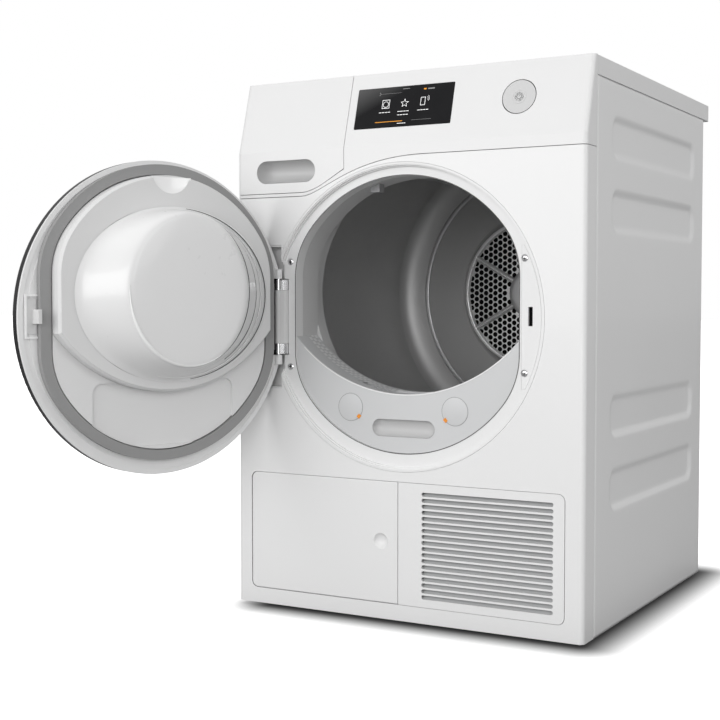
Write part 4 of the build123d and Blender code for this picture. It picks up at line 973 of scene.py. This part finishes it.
def port_band(name, inner, outer, y, steps=240):
    """A flat band that follows the port's outline, facing the front."""
    points = []
    for k in range(steps):
        angle = 2 * math.pi * k / steps
        along_x, along_z = math.cos(angle), math.sin(angle)
        for r in (inner, outer):
            reach = port_reach(r, abs(along_x), abs(along_z))
            points.append((reach * along_x, y, PORT_Z + reach * along_z))
    around = 2 * steps
    faces = [(2 * k, 2 * k + 1, (2 * k + 3) % around, (2 * k + 2) % around) for k in range(steps)]
    return mesh_of(name, points, faces)


def joined(name, meshes):
    """Several meshes as one."""
    work = bmesh.new()
    for mesh in meshes:
        work.from_mesh(mesh)
    mesh = bpy.data.meshes.new(name)
    work.to_mesh(mesh)
    work.free()
    return mesh


def screw_head_mesh(x, z):
    """A low domed screw head."""
    dome = [(0.01, -308.35), (2.2, -308.2), (4.2, -307.7), (5.3, -306.9), (5.3, -306.4)]
    return turned_mesh("head", dome, z, 32, closed=False, place=Matrix.Translation((x * MM, 0, 0)))


def screw_cross_mesh():
    """Two flat black bars across each screw head: painted shade of its cross recess."""
    points = []
    for x, z in SCREW_PLACES:
        for a, b in ((2.9, 0.55), (0.55, 2.9)):
            points += [(x - a, -308.42, z - b), (x + a, -308.42, z - b), (x + a, -308.42, z + b),
                       (x - a, -308.42, z + b)]
    faces = [tuple(range(k, k + 4)) for k in range(0, len(points), 4)]
    return mesh_of("screw_crosses", points, faces)


def lattice_mesh():
    """Three rows of small windows on the lint filter's curved rim."""
    r = CRESCENT_R - 0.3
    points, faces = [], []
    for row, (y0, y1) in enumerate(((-272, -264.5), (-262.5, -255), (-253, -245.5))):
        for k in range(22):
            base = len(points)
            for degrees in (216 + k * 2.1 + row * 0.7, 217.3 + k * 2.1 + row * 0.7):
                angle = math.radians(degrees)
                for y in (y0, y1):
                    points.append((r * math.cos(angle), y, CRESCENT_Z + r * math.sin(angle)))
            faces.append((base, base + 1, base + 3, base + 2))
    return mesh_of("lint_lattice", points, faces)


def mark_mesh():
    """A small block at the lower inner edge of each socket."""
    points, faces = [], []
    for x, degrees in ((SOCKETS["left"], -42), (SOCKETS["right"], -138)):
        turn = math.radians(degrees)
        across, up = math.cos(turn), math.sin(turn)
        base = len(points)
        for u, v in ((-2.6, -3.2), (2.6, -3.2), (2.6, 3.2), (-2.6, 3.2)):
            px = x + (20.6 + u) * across - v * up
            pz = SOCKET_Z + (20.6 + u) * up + v * across
            points += [(px, -306.2, pz), (px, -303, pz)]
        faces += [(base, base + 2, base + 4, base + 6), (base + 7, base + 5, base + 3, base + 1)]
        for k in range(0, 8, 2):
            faces.append((base + k, base + k + 1, base + (k + 3) % 8, base + (k + 2) % 8))
    return mesh_of("socket_marks", points, faces)


class DRYER_OT_sockets(bpy.types.Operator):
    """Flush socket caps with their orange marks, the hollow grips, the screws and the crescent's lip"""
    bl_idname = "dryer.sockets"
    bl_label = "Sockets, grips and screws"

    def execute(self, context):
        for side, x in SOCKETS.items():
            centre = Matrix.Translation((x * MM, 0, 0))
            cap = turned_mesh("socket_cap", [(0.01, -305.9), (20.3, -305.9), (21.1, -305.7), (21.3, -305.1)],
                              SOCKET_Z, 64, closed=False, place=centre)
            ring = turned_mesh("socket_ring", [(20.9, -305.2), (22.1, -305.2), (22.1, -304.8)], SOCKET_Z, 64,
                               closed=False, place=centre)
            add_piece("socket_ring_" + side, ring, "mark_grey", "cabinet", ())
            add_piece("socket_cap_" + side, cap, "pale_grey_moulding", "cabinet", ())
        # The grips' hollows take a darker grey than the mouldings round them: painted shade.
        grip = ring_stack("filter_grip", hollow_rings(-54, 54, 288, 315, -305.2, 11.2, 12.4))
        add_piece("filter_grip", grip, "painted_hollow_shade", "cabinet", ())
        grip = ring_stack("tank_grip", hollow_rings(-260, -150, 685, 721, -317.6, 26, 16.5))
        add_piece("tank_grip", grip, "painted_hollow_shade", "tank", ())
        heads = joined("screw_heads", [screw_head_mesh(x, z) for x, z in SCREW_PLACES])
        add_piece("screw_heads", heads, "bright_chrome", "cabinet", ("ring_screws",))
        add_piece("screw_crosses", screw_cross_mesh(), "painted_slot_shade", "cabinet", ())
        # A thin dark band round the port's rim, painted shade of the seam between bezel and throat.
        seam = port_band("port_seam", 212.6, 213.9, -308.4)
        add_piece("port_seam", seam, "painted_seam_shade", "cabinet", ())
        add_piece("lint_lattice", lattice_mesh(), "white_moulding", "cabinet", ())
        lip = arc_band("crescent_lip", 0, CRESCENT_Z, CRESCENT_R + 0.2, CRESCENT_R + 2, -305.35, 226.5, 313.5)
        add_piece("crescent_lip", lip, "white_moulding", "cabinet", ())
        add_piece("socket_marks", mark_mesh(), "mark_orange", "cabinet", ())
        return {"FINISHED"}


def aim(thing, place, target):
    thing.location = place
    thing.rotation_euler = (Vector(target) - Vector(place)).to_track_quat("-Z", "Y").to_euler()


def area_light(name, place, target, size, power):
    data = bpy.data.lights.new(name, "AREA")
    data.shape = "RECTANGLE"
    data.size, data.size_y = size
    data.energy = power
    lamp = bpy.data.objects.new(name, data)
    bpy.context.scene.collection.objects.link(lamp)
    aim(lamp, place, target)


# The floor's painted contact shadow: middle and half sizes of the cabinet's foot, and how far the painted
# shadow fades out
FOOT_X = 0.022
FOOT_HALF = (0.265, 0.30)
PAINTED_SHADOW_FADE = 0.115


def floor_finish():
    """Pale floor with a painted contact shadow that darkens it close to the cabinet; it is bright only where
    the eye meets it directly.
    """
    pale, tree, shader = new_material("floor_painted_shadow")
    shader.inputs["Roughness"].default_value = 0.8
    place = tree.nodes.new("ShaderNodeTexCoord").outputs["Object"]
    parts = tree.nodes.new("ShaderNodeSeparateXYZ")
    tree.links.new(place, parts.inputs[0])
    across = maths(tree, "SUBTRACT", parts.outputs["X"], FOOT_X)
    squares = []
    for along, half in zip((across, parts.outputs["Y"]), FOOT_HALF):
        past = maths(tree, "SUBTRACT", maths(tree, "ABSOLUTE", along), half)
        squares.append(maths(tree, "POWER", maths(tree, "MAXIMUM", past, 0.0), 2.0))
    away = maths(tree, "SQRT", maths(tree, "ADD", *squares))
    # The painted contact shadow: dark at the cabinet's foot, none beyond the fade.
    rise = tree.nodes.new("ShaderNodeMapRange")
    rise.interpolation_type = "SMOOTHSTEP"
    for label, value in (("From Min", 0.0), ("From Max", PAINTED_SHADOW_FADE), ("To Min", 0.02), ("To Max", 1.0)):
        rise.inputs[label].default_value = value
    tree.links.new(away, rise.inputs["Value"])
    seen_straight = tree.nodes.new("ShaderNodeLightPath").outputs["Is Camera Ray"]
    shader.inputs["Emission Color"].default_value = (1, 1, 1, 1)
    tree.links.new(maths(tree, "MULTIPLY", rise.outputs["Result"], seen_straight),
                   shader.inputs["Emission Strength"])
    # The floor's colour is darkened by the same painted shadow.
    tone = maths(tree, "MULTIPLY", rise.outputs["Result"],
                 maths(tree, "ADD", maths(tree, "MULTIPLY", seen_straight, 0.5), 0.35))
    tree.links.new(tone, shader.inputs["Base Color"])
    return pale


def studio_world():
    """White surroundings that light the scene at half their brightness."""
    world = bpy.data.worlds.new("studio")
    world.use_nodes = True
    tree = world.node_tree
    seen = tree.nodes["Background"]
    glow = tree.nodes.new("ShaderNodeBackground")
    for ground, strength in ((seen, 1.0), (glow, 0.5)):
        ground.inputs["Color"].default_value = (1, 1, 1, 1)
        ground.inputs["Strength"].default_value = strength
    path = tree.nodes.new("ShaderNodeLightPath")
    mix = tree.nodes.new("ShaderNodeMixShader")
    tree.links.new(path.outputs["Is Camera Ray"], mix.inputs["Fac"])
    tree.links.new(glow.outputs[0], mix.inputs[1])
    tree.links.new(seen.outputs[0], mix.inputs[2])
    tree.links.new(mix.outputs[0], tree.nodes["World Output"].inputs["Surface"])
    return world


class DRYER_OT_stage(bpy.types.Operator):
    """Pale floor with a painted contact shadow, soft studio light and the camera"""
    bl_idname = "dryer.stage"
    bl_label = "Stage"

    def execute(self, context):
        settings = context.scene.dryer_stage
        mesh = bpy.data.meshes.new("floor")
        mesh.from_pydata([(-30, -30, 0), (30, -30, 0), (30, 30, 0), (-30, 30, 0)], [], [(0, 1, 2, 3)])
        mesh.materials.append(floor_finish())
        floor = bpy.data.objects.new("floor", mesh)
        context.scene.collection.objects.link(floor)
        area_light("overhead", (-0.4, -0.8, 4.2), (-0.1, 0.0, 0.0), (5, 5), 30)
        area_light("key", (-1.7, -5.0, 1.7), (0.0, -0.3, 0.45), (3.6, 2.8), 103)
        area_light("fill", (1.6, -5.0, 1.2), (0.0, -0.3, 0.45), (2.6, 2.2), 58)
        area_light("side_fill", (4.0, -0.6, 1.8), (0.3, 0.0, 0.4), (2.2, 2.2), 30)
        context.scene.world = studio_world()
        data = bpy.data.cameras.new("camera")
        data.lens = settings.lens
        data.sensor_width = 36
        data.clip_end = 100
        camera = bpy.data.objects.new("camera", data)
        context.scene.collection.objects.link(camera)
        camera.location = (0.9536, -2.1137, settings.height)
        camera.rotation_euler = (math.radians(90 - 2.58), 0, math.radians(29.655))
        context.scene.camera = camera
        context.scene.view_settings.view_transform = "Standard"
        return {"FINISHED"}


class DRYER_PT_panel(bpy.types.Panel):
    """Lists the dryer's pieces and settings"""
    bl_idname = "DRYER_PT_panel"
    bl_label = "Clothes Dryer"
    bl_space_type = "VIEW_3D"
    bl_region_type = "UI"
    bl_category = "Dryer"

    def draw(self, context):
        for operator in OPERATORS:
            self.layout.operator(operator.bl_idname)
        for group, names in SETTINGS.items():
            box = self.layout.box()
            for name in names:
                box.prop(getattr(context.scene, group), name)


OPERATORS = [DRYER_OT_stage, DRYER_OT_finishes, DRYER_OT_side_panels, DRYER_OT_drum, DRYER_OT_door_bowl,
             DRYER_OT_display, DRYER_OT_grille, DRYER_OT_sockets]
SETTINGS = {
    "dryer_finish": ("enamel", "enamel_gloss", "marks"),
    "dryer_drum": ("hole_pitch", "hole_radius", "segments"),
    "dryer_panels": ("bead_depth", "bead_slope"),
    "dryer_stage": ("lens", "height"),
}
GROUPS = {
    "dryer_finish": DryerFinishSettings, "dryer_drum": DryerDrumSettings,
    "dryer_panels": DryerPanelSettings, "dryer_stage": DryerStageSettings,
}


def register():
    for group in GROUPS.values():
        bpy.utils.register_class(group)
    for operator in OPERATORS:
        bpy.utils.register_class(operator)
    bpy.utils.register_class(DRYER_PT_panel)
    for name, group in GROUPS.items():
        setattr(bpy.types.Scene, name, PointerProperty(type=group))


def unregister():
    for name in GROUPS:
        delattr(bpy.types.Scene, name)
    bpy.utils.unregister_class(DRYER_PT_panel)
    for operator in reversed(OPERATORS):
        bpy.utils.unregister_class(operator)
    for group in reversed(list(GROUPS.values())):
        bpy.utils.unregister_class(group)


def main():
    register()
    for operator in OPERATORS:
        group, name = operator.bl_idname.split(".")
        getattr(getattr(bpy.ops, group), name)()


if __name__ == "__main__":
    main()
